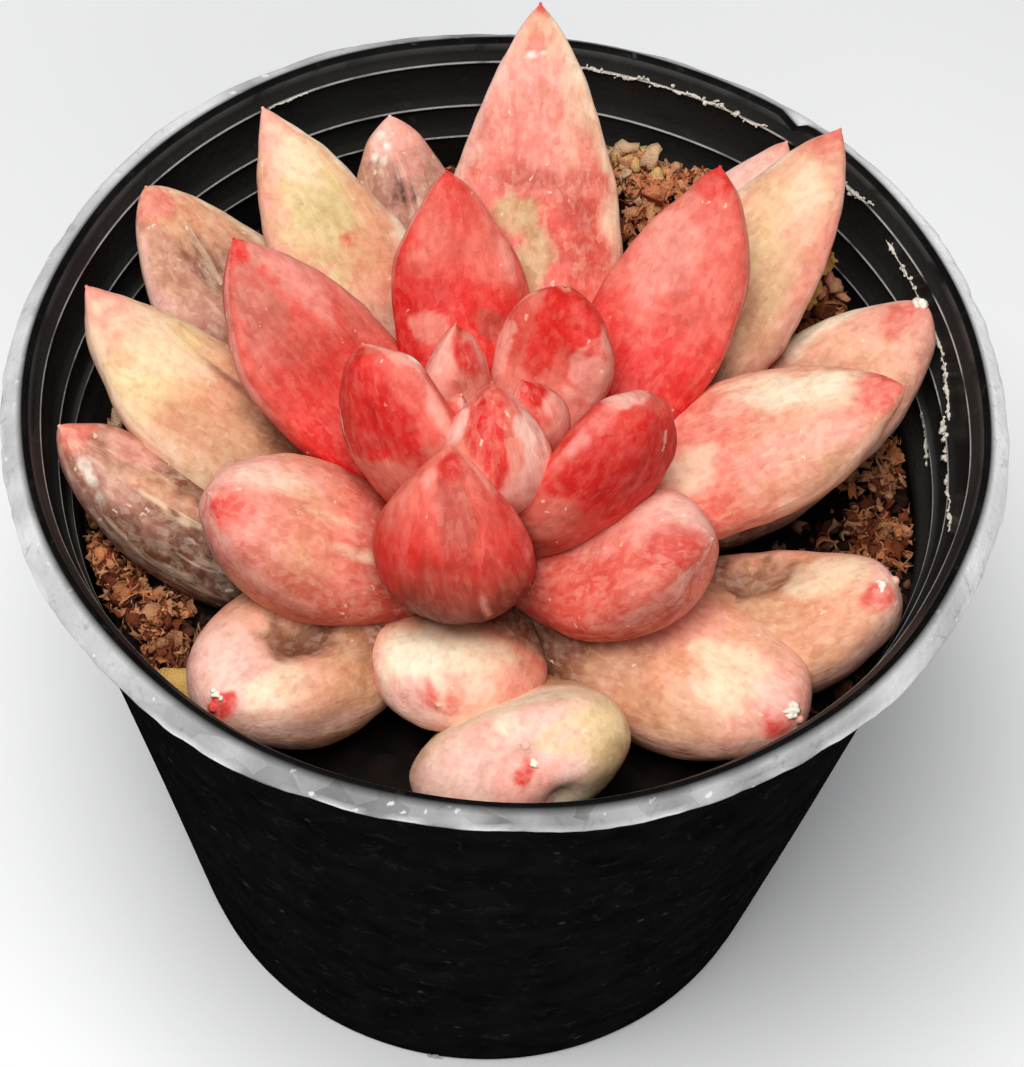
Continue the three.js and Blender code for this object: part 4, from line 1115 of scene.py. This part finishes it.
def pot_profile():
    """The pot's section from the middle of its base, up the outside, and down the inside."""
    shoulder_z = POT_HEIGHT - SHOULDER_DROP
    band_top = RIM_RADIUS - BAND_WIDTH
    band_foot_z = POT_HEIGHT - BAND_DROP
    profile = [(0.01, 0), (10, 0), (BASE_RADIUS - 3, 0)]
    profile += arc((BASE_RADIUS - 0.7, 0.7), 0.7, -90, -8, 5)
    for z in np.arange(3, RIDGE_Z - 1.5, 2.5):
        profile.append((wall_radius(z), z))
    for gap in (-1, -0.6, -0.3, 0, 0.3, 0.6, 1):
        swell = RIDGE_OUT * math.cos(min(abs(gap), 1) * math.pi / 2) ** 2
        profile.append((wall_radius(RIDGE_Z + gap) + swell, RIDGE_Z + gap))
    for z in (58.5, 60.5, 62.5, 64, shoulder_z, 66, 67.5, 69, 70.5, 71.8, 72.6):
        profile.append((wall_radius(z), z))
    profile += [(RIM_RADIUS - 1.4, 72.75), (RIM_RADIUS - 0.6, 72.8)]
    profile += arc((RIM_RADIUS - 0.3, band_foot_z - 0.3), 0.3, -80, 40, 6)
    for share in (0.2, 0.4, 0.6, 0.8):
        radius = RIM_RADIUS - 0.05 - (BAND_WIDTH - 0.1) * share
        profile.append((radius, band_foot_z - 0.05 + (BAND_DROP - 0.1) * share))
    profile += arc((band_top - 0.4, POT_HEIGHT - 0.42), 0.42, 70, 180, 7)
    for depth in LEDGE_DEPTHS:
        middle = POT_HEIGHT - depth
        for gap in (1, 0.7, 0.4, 0.2, 0.1, 0, -0.1, -0.25, -0.5):
            swell = LEDGE_OUT * (1 - smooth(abs(gap) / (0.9 if gap > 0 else 0.45)))
            profile.append((inner_radius(middle + gap) - swell, middle + gap))
    for z in (61.5, 60, 58, 55, 50, 40, 30, 20, 10, 4):
        profile.append((inner_radius(z), z))
    profile += arc((inner_radius(FLOOR) - 1, FLOOR + 1), 1, 0, -90, 5)
    profile += [(20, FLOOR), (0.01, FLOOR)]
    return profile


def out_of_round(turn):
    """How far the worn rim stands out at a turn."""
    ring = np.stack([np.cos(turn), np.sin(turn), turn * 0 + 1], axis=-1) * RIM_RADIUS
    return RIM_WAVE * lumps(ring, 90, 3) + RIM_RIPPLE * lumps(ring, 25, 4)


def inner_face(z, turn):
    """The radius of the worn pot's inner face, with its ledges."""
    face = sorted((height, radius) for radius, height in pot_profile()
                  if 58 < height < 74.6 and radius < inner_radius(height) + 0.1)
    heights, radii = np.array(face).T
    return np.interp(z, heights, radii) + out_of_round(turn)


def make_pot():
    """The nursery pot, turned from its section, worn out of round, with drain holes."""
    profile = np.array(pot_profile())
    rows = len(profile)
    angles = np.arange(POT_SIDES) * 2 * math.pi / POT_SIDES
    radius = np.repeat(profile[:, 0], POT_SIDES)
    height = np.repeat(profile[:, 1], POT_SIDES)
    angle = np.tile(angles, rows)
    points = np.stack([radius * np.cos(angle), radius * np.sin(angle), height], axis=1)
    faces = tube_faces(rows, POT_SIDES)
    faces.append(tuple(range(POT_SIDES))[::-1])
    faces.append(tuple((rows - 1) * POT_SIDES + step for step in range(POT_SIDES)))
    mesh = bpy.data.meshes.new("pot_turned")
    mesh.from_pydata((points * MM).tolist(), [], faces)
    turned = bpy.data.objects.new("pot_turned", mesh)
    bpy.context.collection.objects.link(turned)

    drills = bmesh.new()
    for drain in range(DRAIN_COUNT):
        turn = 2 * math.pi * (drain + 0.5) / DRAIN_COUNT
        centre = Vector((DRAIN_RING * math.cos(turn), DRAIN_RING * math.sin(turn), 0)) * MM
        bmesh.ops.create_cone(drills, cap_ends=True, segments=40, radius1=DRAIN_RADIUS * MM,
                              radius2=DRAIN_RADIUS * MM, depth=8 * FLOOR * MM,
                              matrix=Matrix.Translation(centre))
    drill_mesh = bpy.data.meshes.new("drain_drills")
    drills.to_mesh(drill_mesh)
    drills.free()
    drill = bpy.data.objects.new("drain_drills", drill_mesh)
    bpy.context.collection.objects.link(drill)
    cut = turned.modifiers.new("drains", "BOOLEAN")
    cut.operation = "DIFFERENCE"
    cut.solver = "EXACT"
    cut.object = drill
    shaped = bpy.data.meshes.new_from_object(turned.evaluated_get(bpy.context.evaluated_depsgraph_get()))
    bpy.data.objects.remove(turned)
    bpy.data.objects.remove(drill)

    flat = np.empty(len(shaped.vertices) * 3)
    shaped.vertices.foreach_get("co", flat)
    points = flat.reshape(-1, 3) / MM
    corners = [tuple(face.vertices) for face in shaped.polygons]
    radius = np.hypot(points[:, 0], points[:, 1])
    angle = np.arctan2(points[:, 1], points[:, 0])
    height = points[:, 2].copy()
    high = smooth((height - 20) / 50)
    ring = np.stack([np.cos(angle), np.sin(angle), height * 0 + 1], axis=1) * RIM_RADIUS
    round_off = out_of_round(angle)
    band_zone = smooth((radius - (RIM_RADIUS - BAND_WIDTH - 0.6)) / 0.3) * smooth((height - 72.2) / 0.3)
    ragged = 0.07 * lumps(ring, 7, 5) + 0.06 * lumps(ring, 2.6, 6)
    outer = smooth((radius - RIM_RADIUS + 1.1) / 0.8) * band_zone
    push = round_off * high + ragged * outer
    points[:, 0] += np.cos(angle) * push
    points[:, 1] += np.sin(angle) * push
    degrees = np.degrees(angle)
    for turn, spread, lift, pull in RIM_BENDS:
        bent = outer * np.exp(-(((degrees - turn + 180) % 360 - 180) / spread) ** 2)
        points[:, 2] += bent * lift
        points[:, 0] += np.cos(angle) * bent * pull
        points[:, 1] += np.sin(angle) * bent * pull
    points[:, 2] += outer * 0.1 * lumps(ring, 9, 7)
    notch = np.exp(-(np.degrees(np.angle(np.exp(1j * (angle - math.radians(54))))) / 1.2) ** 2)
    lip = smooth((radius - 41.4) / 0.3) * smooth((height - 74) / 0.5)
    points[:, 2] -= lip * notch * 1.1

    across = RIM_RADIUS - radius
    wear = lumps(points, 6, 8) * 0.25 + lumps(points, 2.2, 9) * 0.15
    painted = band_zone * smooth((height - 73) / 0.08)
    band = painted * smooth((BAND_WIDTH + 0.1 + wear * 0.08 - across) / 0.15)
    # The band's tone: random patches, and painted light that makes it lighter on the left and on the
    # right.
    band_shade = 0.05 + 0.12 * lumps(ring, 14, 13) + 0.1 * lumps(ring, 5, 14)
    band_shade += 0.6 * np.exp(-((np.abs(degrees) - 165) / 50) ** 2)
    band_shade += 0.95 * np.exp(-((degrees - 15) / 55) ** 2)
    # A thin painted highlight along the band's rounded outer edge, broken in places.
    band_edge = smooth((0.12 - across) / 0.1) * smooth(0.5 + lumps(ring, 6, 15) * 0.7)
    wall_middle = np.interp(height, (0, 65, 73), (BASE_RADIUS, SHOULDER_RADIUS, 43.1)) - WALL / 2
    inside = np.where((radius < wall_middle) | (height > 73.2), 1, 0)
    inside = inside * smooth((RIM_RADIUS - BAND_WIDTH - LIP_WIDTH + 0.25 - radius) / 0.3)
    # Pale lines on the lip and the ledges inside: painted highlights on their edges.
    line = np.zeros(len(points))
    for depth in HIGHLIGHT_LINE_DEPTHS:
        line = np.maximum(line, 1 - np.abs(height - (POT_HEIGHT - depth)) / 0.2)
    broken = smooth(0.9 + lumps(ring, 4, 12) * 0.5)
    line = np.clip(line * 1.4, 0, 1) * inside * broken
    # A grey strip on the inner wall just above the soil at the left and right, and a faint grey over the
    # inner wall above the soil, which is painted sheen.
    above_soil = height - 61.5
    strip = smooth((above_soil + 2.5) / 1) * smooth((4.2 - above_soil) / 1) * inside
    sides = np.maximum(np.exp(-((degrees - 5) / 24) ** 2), np.exp(-((np.abs(degrees) - 172) / 20) ** 2))
    haze = np.maximum(strip * sides * 0.8, 0.16 * inside * smooth((height - 60) / 4))
    pot = make_object("nursery_pot", points, corners, POT_PLASTIC, slot="pot_plastic",
                      replaces=["pot"], band=np.clip(band, 0, 1),
                      band_shade=np.clip(band_shade, 0, 1), band_edge=band_edge, line=line,
                      haze=haze,
                      gloss=0.45 * inside * smooth((height - 62) / 3))
    pot.data.set_sharp_from_angle(angle=math.radians(50))
    bpy.data.meshes.remove(shaped)


def thread(path, radii):
    """A closed thin ragged thread along a path."""
    around = 6
    angles = np.arange(around) * 2 * math.pi / around
    heading = np.gradient(path, axis=0)
    heading /= np.linalg.norm(heading, axis=1, keepdims=True)
    side = np.cross(heading, (0, 0, 1))
    side /= np.linalg.norm(side, axis=1, keepdims=True)
    up = np.cross(side, heading)
    rings = (path[:, None] + side[:, None] * (radii[:, None] * np.cos(angles))[:, :, None]
             + up[:, None] * (radii[:, None] * np.sin(angles))[:, :, None])
    faces = tube_faces(len(path), around)
    faces.append(tuple(range(around))[::-1])
    faces.append(tuple((len(path) - 1) * around + step for step in range(around)))
    return rings.reshape(-1, 3), faces


def make_lime_crust():
    """Ragged lime that clings to the pot's inner wall: thin broken threads with grains on them."""
    heap = Heap()
    for start, start_z, end, end_z, grains in CRUST_RUNS:
        steps = 3 * abs(end - start) + 8
        share = np.linspace(0, 1, steps)
        turn = np.radians(start + (end - start) * share)
        line = np.stack([share * abs(end - start) * 0.7, share * 0, share * 0], axis=1)
        ragged = lumps(line, 3, 70 + len(heap.faces))
        z = start_z + (end_z - start_z) * share + 0.16 * ragged + crust_draw.normal(0, 0.04, steps)
        reach = inner_face(z, turn) - 0.06
        path = np.stack([reach * np.cos(turn), reach * np.sin(turn), z], axis=1)
        thickness = np.clip(lumps(line, 1.6, 90 + len(heap.faces)), 0, 1.4) * 0.12
        thickness += crust_draw.uniform(0.03, 0.1, steps)
        heap.add(*thread(path, thickness), np.tile(colour("bone"), (steps * 6, 1)))
        for _ in range(grains // 2):
            spot = crust_draw.integers(steps)
            size = crust_draw.gamma(2, 0.11) + 0.08
            shape, shape_faces = crumb(size, 7000 + len(heap.faces), 0.8)
            shape = shape @ turned_basis(crust_draw, 1.2).T
            away = crust_draw.normal(0, 0.18, 3) * (0.4, 0.4, 1)
            heap.add(shape + path[spot] + away, shape_faces,
                     even_tint(shape, "bone", 0.08, crust_draw))
    for turn, z, size in BASE_SPLASH:
        shape, shape_faces = crumb(size, 7000 + len(heap.faces), 0.6)
        reach = wall_radius(z) + 0.05
        spot = (reach * math.cos(math.radians(turn)), reach * math.sin(math.radians(turn)), z)
        heap.add(shape + spot, shape_faces, even_tint(shape, "chalk", 0.05, crust_draw))
    heap.make("lime_crust", LIME_CRUST, "pebble")


def soil_height(x, y):
    radius = np.hypot(x, y)
    bowl = SOIL_BOWL * np.exp(-((radius / 24) ** 4))
    waves = 0.4 * np.sin(0.31 * x + 1.2) + 0.4 * np.sin(0.27 * y - 0.4)
    height = SOIL_LEVEL - bowl + waves
    for (at_x, at_y), rise, spread in MOUNDS:
        away = np.hypot(x - at_x, y - at_y) / spread
        height = height + rise * np.exp(-away * away)
    return height


def turned_basis(draw, tilt):
    """Three directions of a piece that lies about flat, turned at random."""
    turn = draw.uniform(0, 2 * math.pi)
    lean = draw.normal(0, tilt, 2)
    spin = Matrix.Rotation(turn, 3, "Z")
    return np.array(Matrix.Rotation(lean[0], 3, "X") @ Matrix.Rotation(lean[1], 3, "Y") @ spin)


def sheet_faces(rows, columns):
    """Faces of a thin closed sheet: a top grid, an under grid and the edge between them."""
    faces = []
    count = rows * columns
    for i in range(rows - 1):
        for j in range(columns - 1):
            a = i * columns + j
            quad = (a, a + columns, a + columns + 1, a + 1)
            faces.append(quad)
            faces.append(tuple(corner + count for corner in quad[::-1]))
    rim = list(range(columns))
    rim += [i * columns + columns - 1 for i in range(1, rows)]
    rim += [(rows - 1) * columns + j for j in range(columns - 2, -1, -1)]
    rim += [i * columns for i in range(rows - 2, 0, -1)]
    for step, a in enumerate(rim):
        b = rim[(step + 1) % len(rim)]
        faces.append((a, b, b + count, a + count))
    return faces


def curled_flake(length, width, thick, curl, rows, columns, seed):
    """A closed thin flake that curls along its length, with a torn outline."""
    draw = np.random.default_rng(seed)
    u, v = np.meshgrid(np.linspace(-1, 1, rows), np.linspace(-1, 1, columns), indexing="ij")
    torn = 1 - 0.3 * draw.random((rows, 1)) * np.abs(v)
    narrow = np.sqrt(np.clip(1.15 - u ** 2, 0.05, 1))
    x = u * length / 2 * (1 - 0.12 * draw.random((1, columns)))
    y = v * width / 2 * narrow * torn
    bend = curl * (u + 0.25 * draw.normal())
    z = curl * length * 0.3 * u ** 2 + width * 0.22 * v ** 2 * draw.uniform(0.4, 1.6)
    z = z + 0.14 * width * np.sin(bend * 3 + draw.uniform(0, 6)) + draw.normal(0, 0.04, u.shape) * width
    top = np.stack([x, y, z + thick / 2], axis=-1).reshape(-1, 3)
    under = np.stack([x, y, z - thick / 2], axis=-1).reshape(-1, 3)
    points = np.concatenate([top, under])
    return points, sheet_faces(rows, columns)


def crumb(size, seed, flat=0.7):
    """A closed knobbly crumb."""
    ball = bmesh.new()
    bmesh.ops.create_icosphere(ball, subdivisions=2, radius=0.5)
    points = np.array([point.co[:] for point in ball.verts])
    faces = [tuple(corner.index for corner in face.verts) for face in ball.faces]
    ball.free()
    draw = np.random.default_rng(seed)
    knobs = 1 + 0.3 * lumps(points, 0.8, seed) + 0.16 * lumps(points, 0.35, seed + 1)
    stretch = np.array([draw.uniform(0.8, 1.5), draw.uniform(0.7, 1.1), flat])
    return points * knobs[:, None] * stretch * size, faces


class Heap:
    """Loose closed shapes gathered into one mesh."""

    def __init__(self):
        self.points = []
        self.faces = []
        self.tints = []
        self.count = 0

    def add(self, points, faces, tint):
        self.points.append(points)
        self.tints.append(tint)
        self.faces += [tuple(corner + self.count for corner in face) for face in faces]
        self.count += len(points)

    def make(self, name, material, slot, replaces=()):
        return make_object(name, np.concatenate(self.points), self.faces, material, slot=slot,
                           replaces=replaces, tint=np.concatenate(self.tints))


def even_tint(points, name, spread, draw):
    """One colour for a whole shape, a little lighter or darker than its name."""
    return np.tile(colour(name) * draw.uniform(1 - spread, 1 + spread), (len(points), 1))


def crumpled_scrap(size, draw):
    """A closed scrap of thin dry fibre, crumpled and torn."""
    rows, columns = 6, 4
    u, v = np.meshgrid(np.linspace(-1, 1, rows), np.linspace(-1, 1, columns), indexing="ij")
    torn_u = 1 + draw.normal(0, 0.2, (1, columns))
    torn_v = 1 + draw.normal(0, 0.3, (rows, 1))
    x = u * size * 0.5 * torn_u
    y = v * size * draw.uniform(0.14, 0.34) * torn_v
    folds = np.sin(u * draw.uniform(1.5, 4) + draw.uniform(0, 6))
    ripples = np.sin(v * draw.uniform(1, 2.6) + u * 2 + draw.uniform(0, 6))
    z = size * (0.24 * folds + 0.14 * ripples) + draw.normal(0, 0.05, u.shape) * size
    top = np.stack([x, y, z + 0.05], axis=-1).reshape(-1, 3)
    under = np.stack([x, y, z - 0.05], axis=-1).reshape(-1, 3)
    return np.concatenate([top, under]), sheet_faces(rows, columns)


def curled_shaving(size, draw):
    """A closed thin shaving, rolled up on itself."""
    rows, columns = 8, 3
    turn, v = np.meshgrid(np.linspace(0, draw.uniform(2.4, 5), rows), np.linspace(-1, 1, columns),
                          indexing="ij")
    radius = size * (0.17 + 0.045 * turn) * (1 + 0.12 * v * draw.normal())
    width = size * draw.uniform(0.14, 0.36) * (1 + draw.normal(0, 0.25, (rows, 1)))
    y = v * width + turn * size * draw.uniform(-0.06, 0.06)
    outer = radius + 0.05
    inner = radius - 0.05
    top = np.stack([outer * np.cos(turn), y, outer * np.sin(turn)], axis=-1).reshape(-1, 3)
    under = np.stack([inner * np.cos(turn), y, inner * np.sin(turn)], axis=-1).reshape(-1, 3)
    return np.concatenate([top, under]), sheet_faces(rows, columns)


def dry_scrap(size, tilt, draw):
    """A shaving or a crumpled scrap, turned at random."""
    shape, faces = (curled_shaving if draw.random() < 0.65 else crumpled_scrap)(size, draw)
    return shape @ turned_basis(draw, tilt).T, faces


def scattered(size, inner):
    """A place on the soil for a piece of a size, clear of the pot's wall."""
    reach = SCRAP_REACH - size * 0.55
    turn = soil_draw.uniform(*SCATTER_TURN)
    radius = reach * math.sqrt(soil_draw.uniform(inner, 1))
    return np.array([radius * math.cos(turn), radius * math.sin(turn)])


def kept_inside(at, size):
    """The same place, drawn in where it would reach the pot's wall."""
    reach = SCRAP_REACH - size * 0.55
    return at * min(1, reach / max(float(np.hypot(*at)), 0.01))


def pressed_inside(points):
    """Points drawn in to the pot's inner wall where they would pass it."""
    reach = np.array([inner_radius(z) for z in points[:, 2]]) - WALL_CLEARANCE
    pull = np.minimum(1, reach / np.maximum(np.hypot(points[:, 0], points[:, 1]), 0.01))
    return points * np.stack([pull, pull, pull * 0 + 1], axis=1)


def make_soil():
    """The soil's dark body, with small bark crumbs pressed into it."""
    heap = Heap()
    rings, sides = 70, 200
    reach = inner_radius(SOIL_LEVEL) - 0.35
    radii = np.concatenate([[0.05], np.linspace(0.02, 1, rings) * reach])
    angles = np.arange(sides) * 2 * math.pi / sides
    x = np.outer(radii, np.cos(angles)).ravel()
    y = np.outer(radii, np.sin(angles)).ravel()
    place = np.stack([x, y, x * 0], axis=1)
    z = soil_height(x, y)
    z += 0.55 * lumps(place, 4.2, 31) + 0.4 * lumps(place, 1.9, 32) + 0.18 * lumps(place, 0.9, 33)
    points = np.stack([x, y, z], axis=1)
    skirt_z = 45
    skirt_radius = inner_radius(skirt_z) - 0.35
    skirt = np.stack([skirt_radius * np.cos(angles), skirt_radius * np.sin(angles),
                      np.full(sides, skirt_z)], axis=1)
    low = np.stack([(inner_radius(3) - 0.6) * np.cos(angles), (inner_radius(3) - 0.6) * np.sin(angles),
                    np.full(sides, FLOOR + 0.35)], axis=1)
    points = np.concatenate([points, skirt, low])
    rows = rings + 3
    faces = [face[::-1] for face in tube_faces(rows, sides)]
    faces.append(tuple(range(sides)))
    faces.append(tuple((rows - 1) * sides + step for step in range(sides))[::-1])
    # The bed is tinted near black, partly the soil's own dark colour and partly painted shade for the
    # gaps between the scraps.
    shade = 0.5 + 0.5 * lumps(points, 3, 34)
    tint = np.outer(0.25 + 0.6 * np.clip(shade, 0, 1), colour("peat"))
    heap.add(points, faces, tint)

    for seed in range(620):
        size = soil_draw.gamma(3, 0.24) + 0.3
        at = scattered(size, 0.15)
        shape, shape_faces = crumb(size, 1000 + seed)
        shape = shape @ turned_basis(soil_draw, 0.6).T
        lift = soil_height(at[0], at[1]) + size * 0.2
        name = soil_draw.choice(["peat", "bark", "bark", "umber"])
        heap.add(shape + (*at, lift), shape_faces, even_tint(shape, name, 0.35, soil_draw))
    heap.make("bark_soil_bed", SOIL_MATTER, "soil", ["soil"])


def brightened(tint, factors):
    """A tint times factors, dimmed as a whole where it would pass the palest matter."""
    lit = tint * factors
    return lit / np.maximum(lit.max(axis=1, keepdims=True) / PALEST, 1)


def make_fibre_scraps():
    """Crumpled scraps of dry fibre, in clumps and thinly over the rest of the soil."""
    heap = Heap()
    for x, y, spread, rise, count, names in SCRAP_CLUMPS:
        for _ in range(count):
            size = soil_draw.gamma(4, 0.3) + 0.5
            away = soil_draw.normal(0, 0.5, 2)
            at = kept_inside(np.array([x, y]) + away * spread, size)
            dome = rise * math.exp(-float(away @ away) * 1.6)
            lift = soil_height(at[0], at[1]) + 0.3 + dome * soil_draw.uniform(0.3, 1)
            shape, shape_faces = dry_scrap(size, 1.4, soil_draw)
            name = soil_draw.choice(names.split())
            # Scraps further back are lightened more, as painted light.
            brightness = CLUMP_BRIGHTNESS + BACK_BRIGHTENING * y
            tint = brightened(even_tint(shape, name, 0.3, soil_draw), np.array(WARMER) * brightness)
            heap.add(shape + (*at, lift), shape_faces, tint)
    for _ in range(THIN_SCRAPS):
        size = soil_draw.gamma(4, 0.28) + 0.4
        at = scattered(size, 0.2)
        shape, shape_faces = dry_scrap(size, 1, soil_draw)
        lift = soil_height(at[0], at[1]) + soil_draw.uniform(0.3, 1)
        name = soil_draw.choice(["umber", "umber", "bark", "tan"])
        heap.add(shape + (*at, lift), shape_faces, even_tint(shape, name, 0.3, soil_draw))
    heap.make("fibre_scraps", SOIL_MATTER, "soil")

    heap = Heap()
    for seed, (x, y, rise, size, name) in enumerate(PALE_LUMPS, 5000):
        shape, shape_faces = crumb(size, seed, 0.7)
        shape = shape @ turned_basis(soil_draw, 1).T
        x, y = kept_inside(np.array([x, y]), size * 2)
        lift = soil_height(x, y) + rise
        tint = brightened(even_tint(shape, name, 0.06, soil_draw), PALER)
        heap.add(pressed_inside(shape + (x, y, lift)), shape_faces, tint)
    heap.make("pale_lumps", PEBBLE_STONE, "soil")


def make_stem():
    """The short woody stem, with rings of old leaf scars."""
    rows, sides = 60, 48
    z = np.linspace(34, 76, rows)
    radius = np.interp(z, (34, 36, 46, 58, 70, 74.8, 76), (0.3, 1.6, 3.2, 4.3, 4.3, 2.6, 0.2))
    angles = np.arange(sides) * 2 * math.pi / sides
    ring = np.repeat(radius, sides)
    height = np.repeat(z, sides)
    angle = np.tile(angles, rows)
    scars = 0.12 * np.sin(height * 2.1 + 2 * np.sin(angle * 3))
    ring = ring * (1 + scars * 0.4)
    points = np.stack([-0.5 + ring * np.cos(angle), -11 + ring * np.sin(angle), height], axis=1)
    faces = tube_faces(rows, sides)
    faces.append(tuple(range(sides))[::-1])
    faces.append(tuple((rows - 1) * sides + step for step in range(sides)))
    tint = np.outer(0.7 + 0.3 * lumps(points, 3, 41), colour("umber"))
    make_object("woody_stem", points, faces, STEM_BARK, slot="stem", replaces=["stem"],
                tint=np.clip(tint, 0, 1))


def make_loose_pieces():
    """The yellow pebble and the two dry flakes on the soil."""
    heap = Heap()
    shape, faces = crumb(5.4, 77, 0.85)
    lift = soil_height(-25.8, -27.4) + 2.2
    heap.add(shape + (-25.8, -27.4, lift), faces,
             np.tile(colour("straw") * (1.05, 0.86, 0.55), (len(shape), 1)))
    heap.make("yellow_pebble_stone", PEBBLE_STONE, "pebble", ["yellow_pebble"])

    heap = Heap()
    shape, faces = curled_flake(6, 3, 0.3, 0.6, 14, 9, 78)
    shape = shape @ np.array(Matrix.Rotation(math.radians(20), 3, "Z")).T
    heap.add(shape + (9, 36, soil_height(9, 36) + 1), faces, np.tile(colour("straw"), (len(shape), 1)))
    heap.make("pale_dry_flake", DRY_FLAKE, "flake", ["pale_flake"])

    heap = Heap()
    for x, y, rise, length, turn, lean, seed in GOLDEN_CURLS:
        shape, faces = curled_flake(length, length * 0.62, 0.3, 1.1, 14, 9, seed)
        pose = Matrix.Rotation(math.radians(lean), 3, "X") @ Matrix.Rotation(math.radians(turn), 3, "Z")
        x, y = kept_inside(np.array([x, y]), length)
        curl = shape @ np.array(pose).T + (x, y, soil_height(x, y) + rise)
        heap.add(pressed_inside(curl), faces,
                 np.tile(colour("straw") * (1.12, 0.86, 0.5), (len(shape), 1)))
    heap.make("golden_dry_flake", DRY_FLAKE, "flake", ["golden_flake"])


# The stage

def make_floor():
    reach = 3000
    corners = [(-reach, -reach, 0), (reach, -reach, 0), (reach, reach, 0), (-reach, reach, 0)]
    mesh = bpy.data.meshes.new("pale_floor")
    mesh.from_pydata([Vector(corner) * MM for corner in corners], [], [(0, 1, 2, 3)])
    mesh.materials.append(make_floor_paint())
    floor = bpy.data.objects.new("pale_floor", mesh)
    bpy.context.collection.objects.link(floor)


def make_light(name, place, size, power, aim):
    """A square soft light at a place, which points at an aim."""
    lamp = bpy.data.lights.new(name, "AREA")
    lamp.shape = "SQUARE"
    lamp.size = size * MM
    lamp.energy = power
    holder = bpy.data.objects.new(name, lamp)
    holder.location = Vector(place) * MM
    holder.rotation_mode = "QUATERNION"
    holder.rotation_quaternion = (Vector(aim) - Vector(place)).to_track_quat("-Z", "Y")
    bpy.context.collection.objects.link(holder)


def make_studio():
    world = bpy.data.worlds.new("pale_studio")
    world.use_nodes = True
    background = world.node_tree.nodes["Background"]
    background.inputs["Color"].default_value = ROOM_TINT
    background.inputs["Strength"].default_value = ROOM_GLOW
    bpy.context.scene.world = world
    for name, place, power in SOFT_LIGHTS:
        make_light(name, place, SOFT_LIGHT_SIZE, power, LIGHT_AIM)
    bpy.context.scene.view_settings.view_transform = "Standard"


def make_camera():
    tilt = math.radians(CAMERA_ELEVATION)
    roll = math.radians(CAMERA_ROLL)
    forward = Vector((0, math.cos(tilt), -math.sin(tilt)))
    right = Vector((1, 0, 0))
    up = right.cross(forward)
    turned_right = right * math.cos(roll) + up * math.sin(roll)
    turned_up = up * math.cos(roll) - right * math.sin(roll)
    pose = Matrix((turned_right, turned_up, -forward)).transposed().to_4x4()
    pose.translation = (Vector(CAMERA_AIM) - forward * CAMERA_DISTANCE) * MM
    lens = bpy.data.cameras.new("photo_camera")
    lens.sensor_width = SENSOR
    lens.lens = FOCAL_PIXELS / IMAGE_HEIGHT * SENSOR
    lens.clip_start = 0.01
    lens.clip_end = 20
    camera = bpy.data.objects.new("photo_camera", lens)
    camera.matrix_world = pose
    bpy.context.collection.objects.link(camera)
    bpy.context.scene.camera = camera


make_camera()
make_studio()
make_floor()
make_pot()
make_lime_crust()
make_soil()
make_fibre_scraps()
make_stem()
make_loose_pieces()
for number, leaf in enumerate(LEAVES):
    make_leaf(leaf, 100 + number * 20)
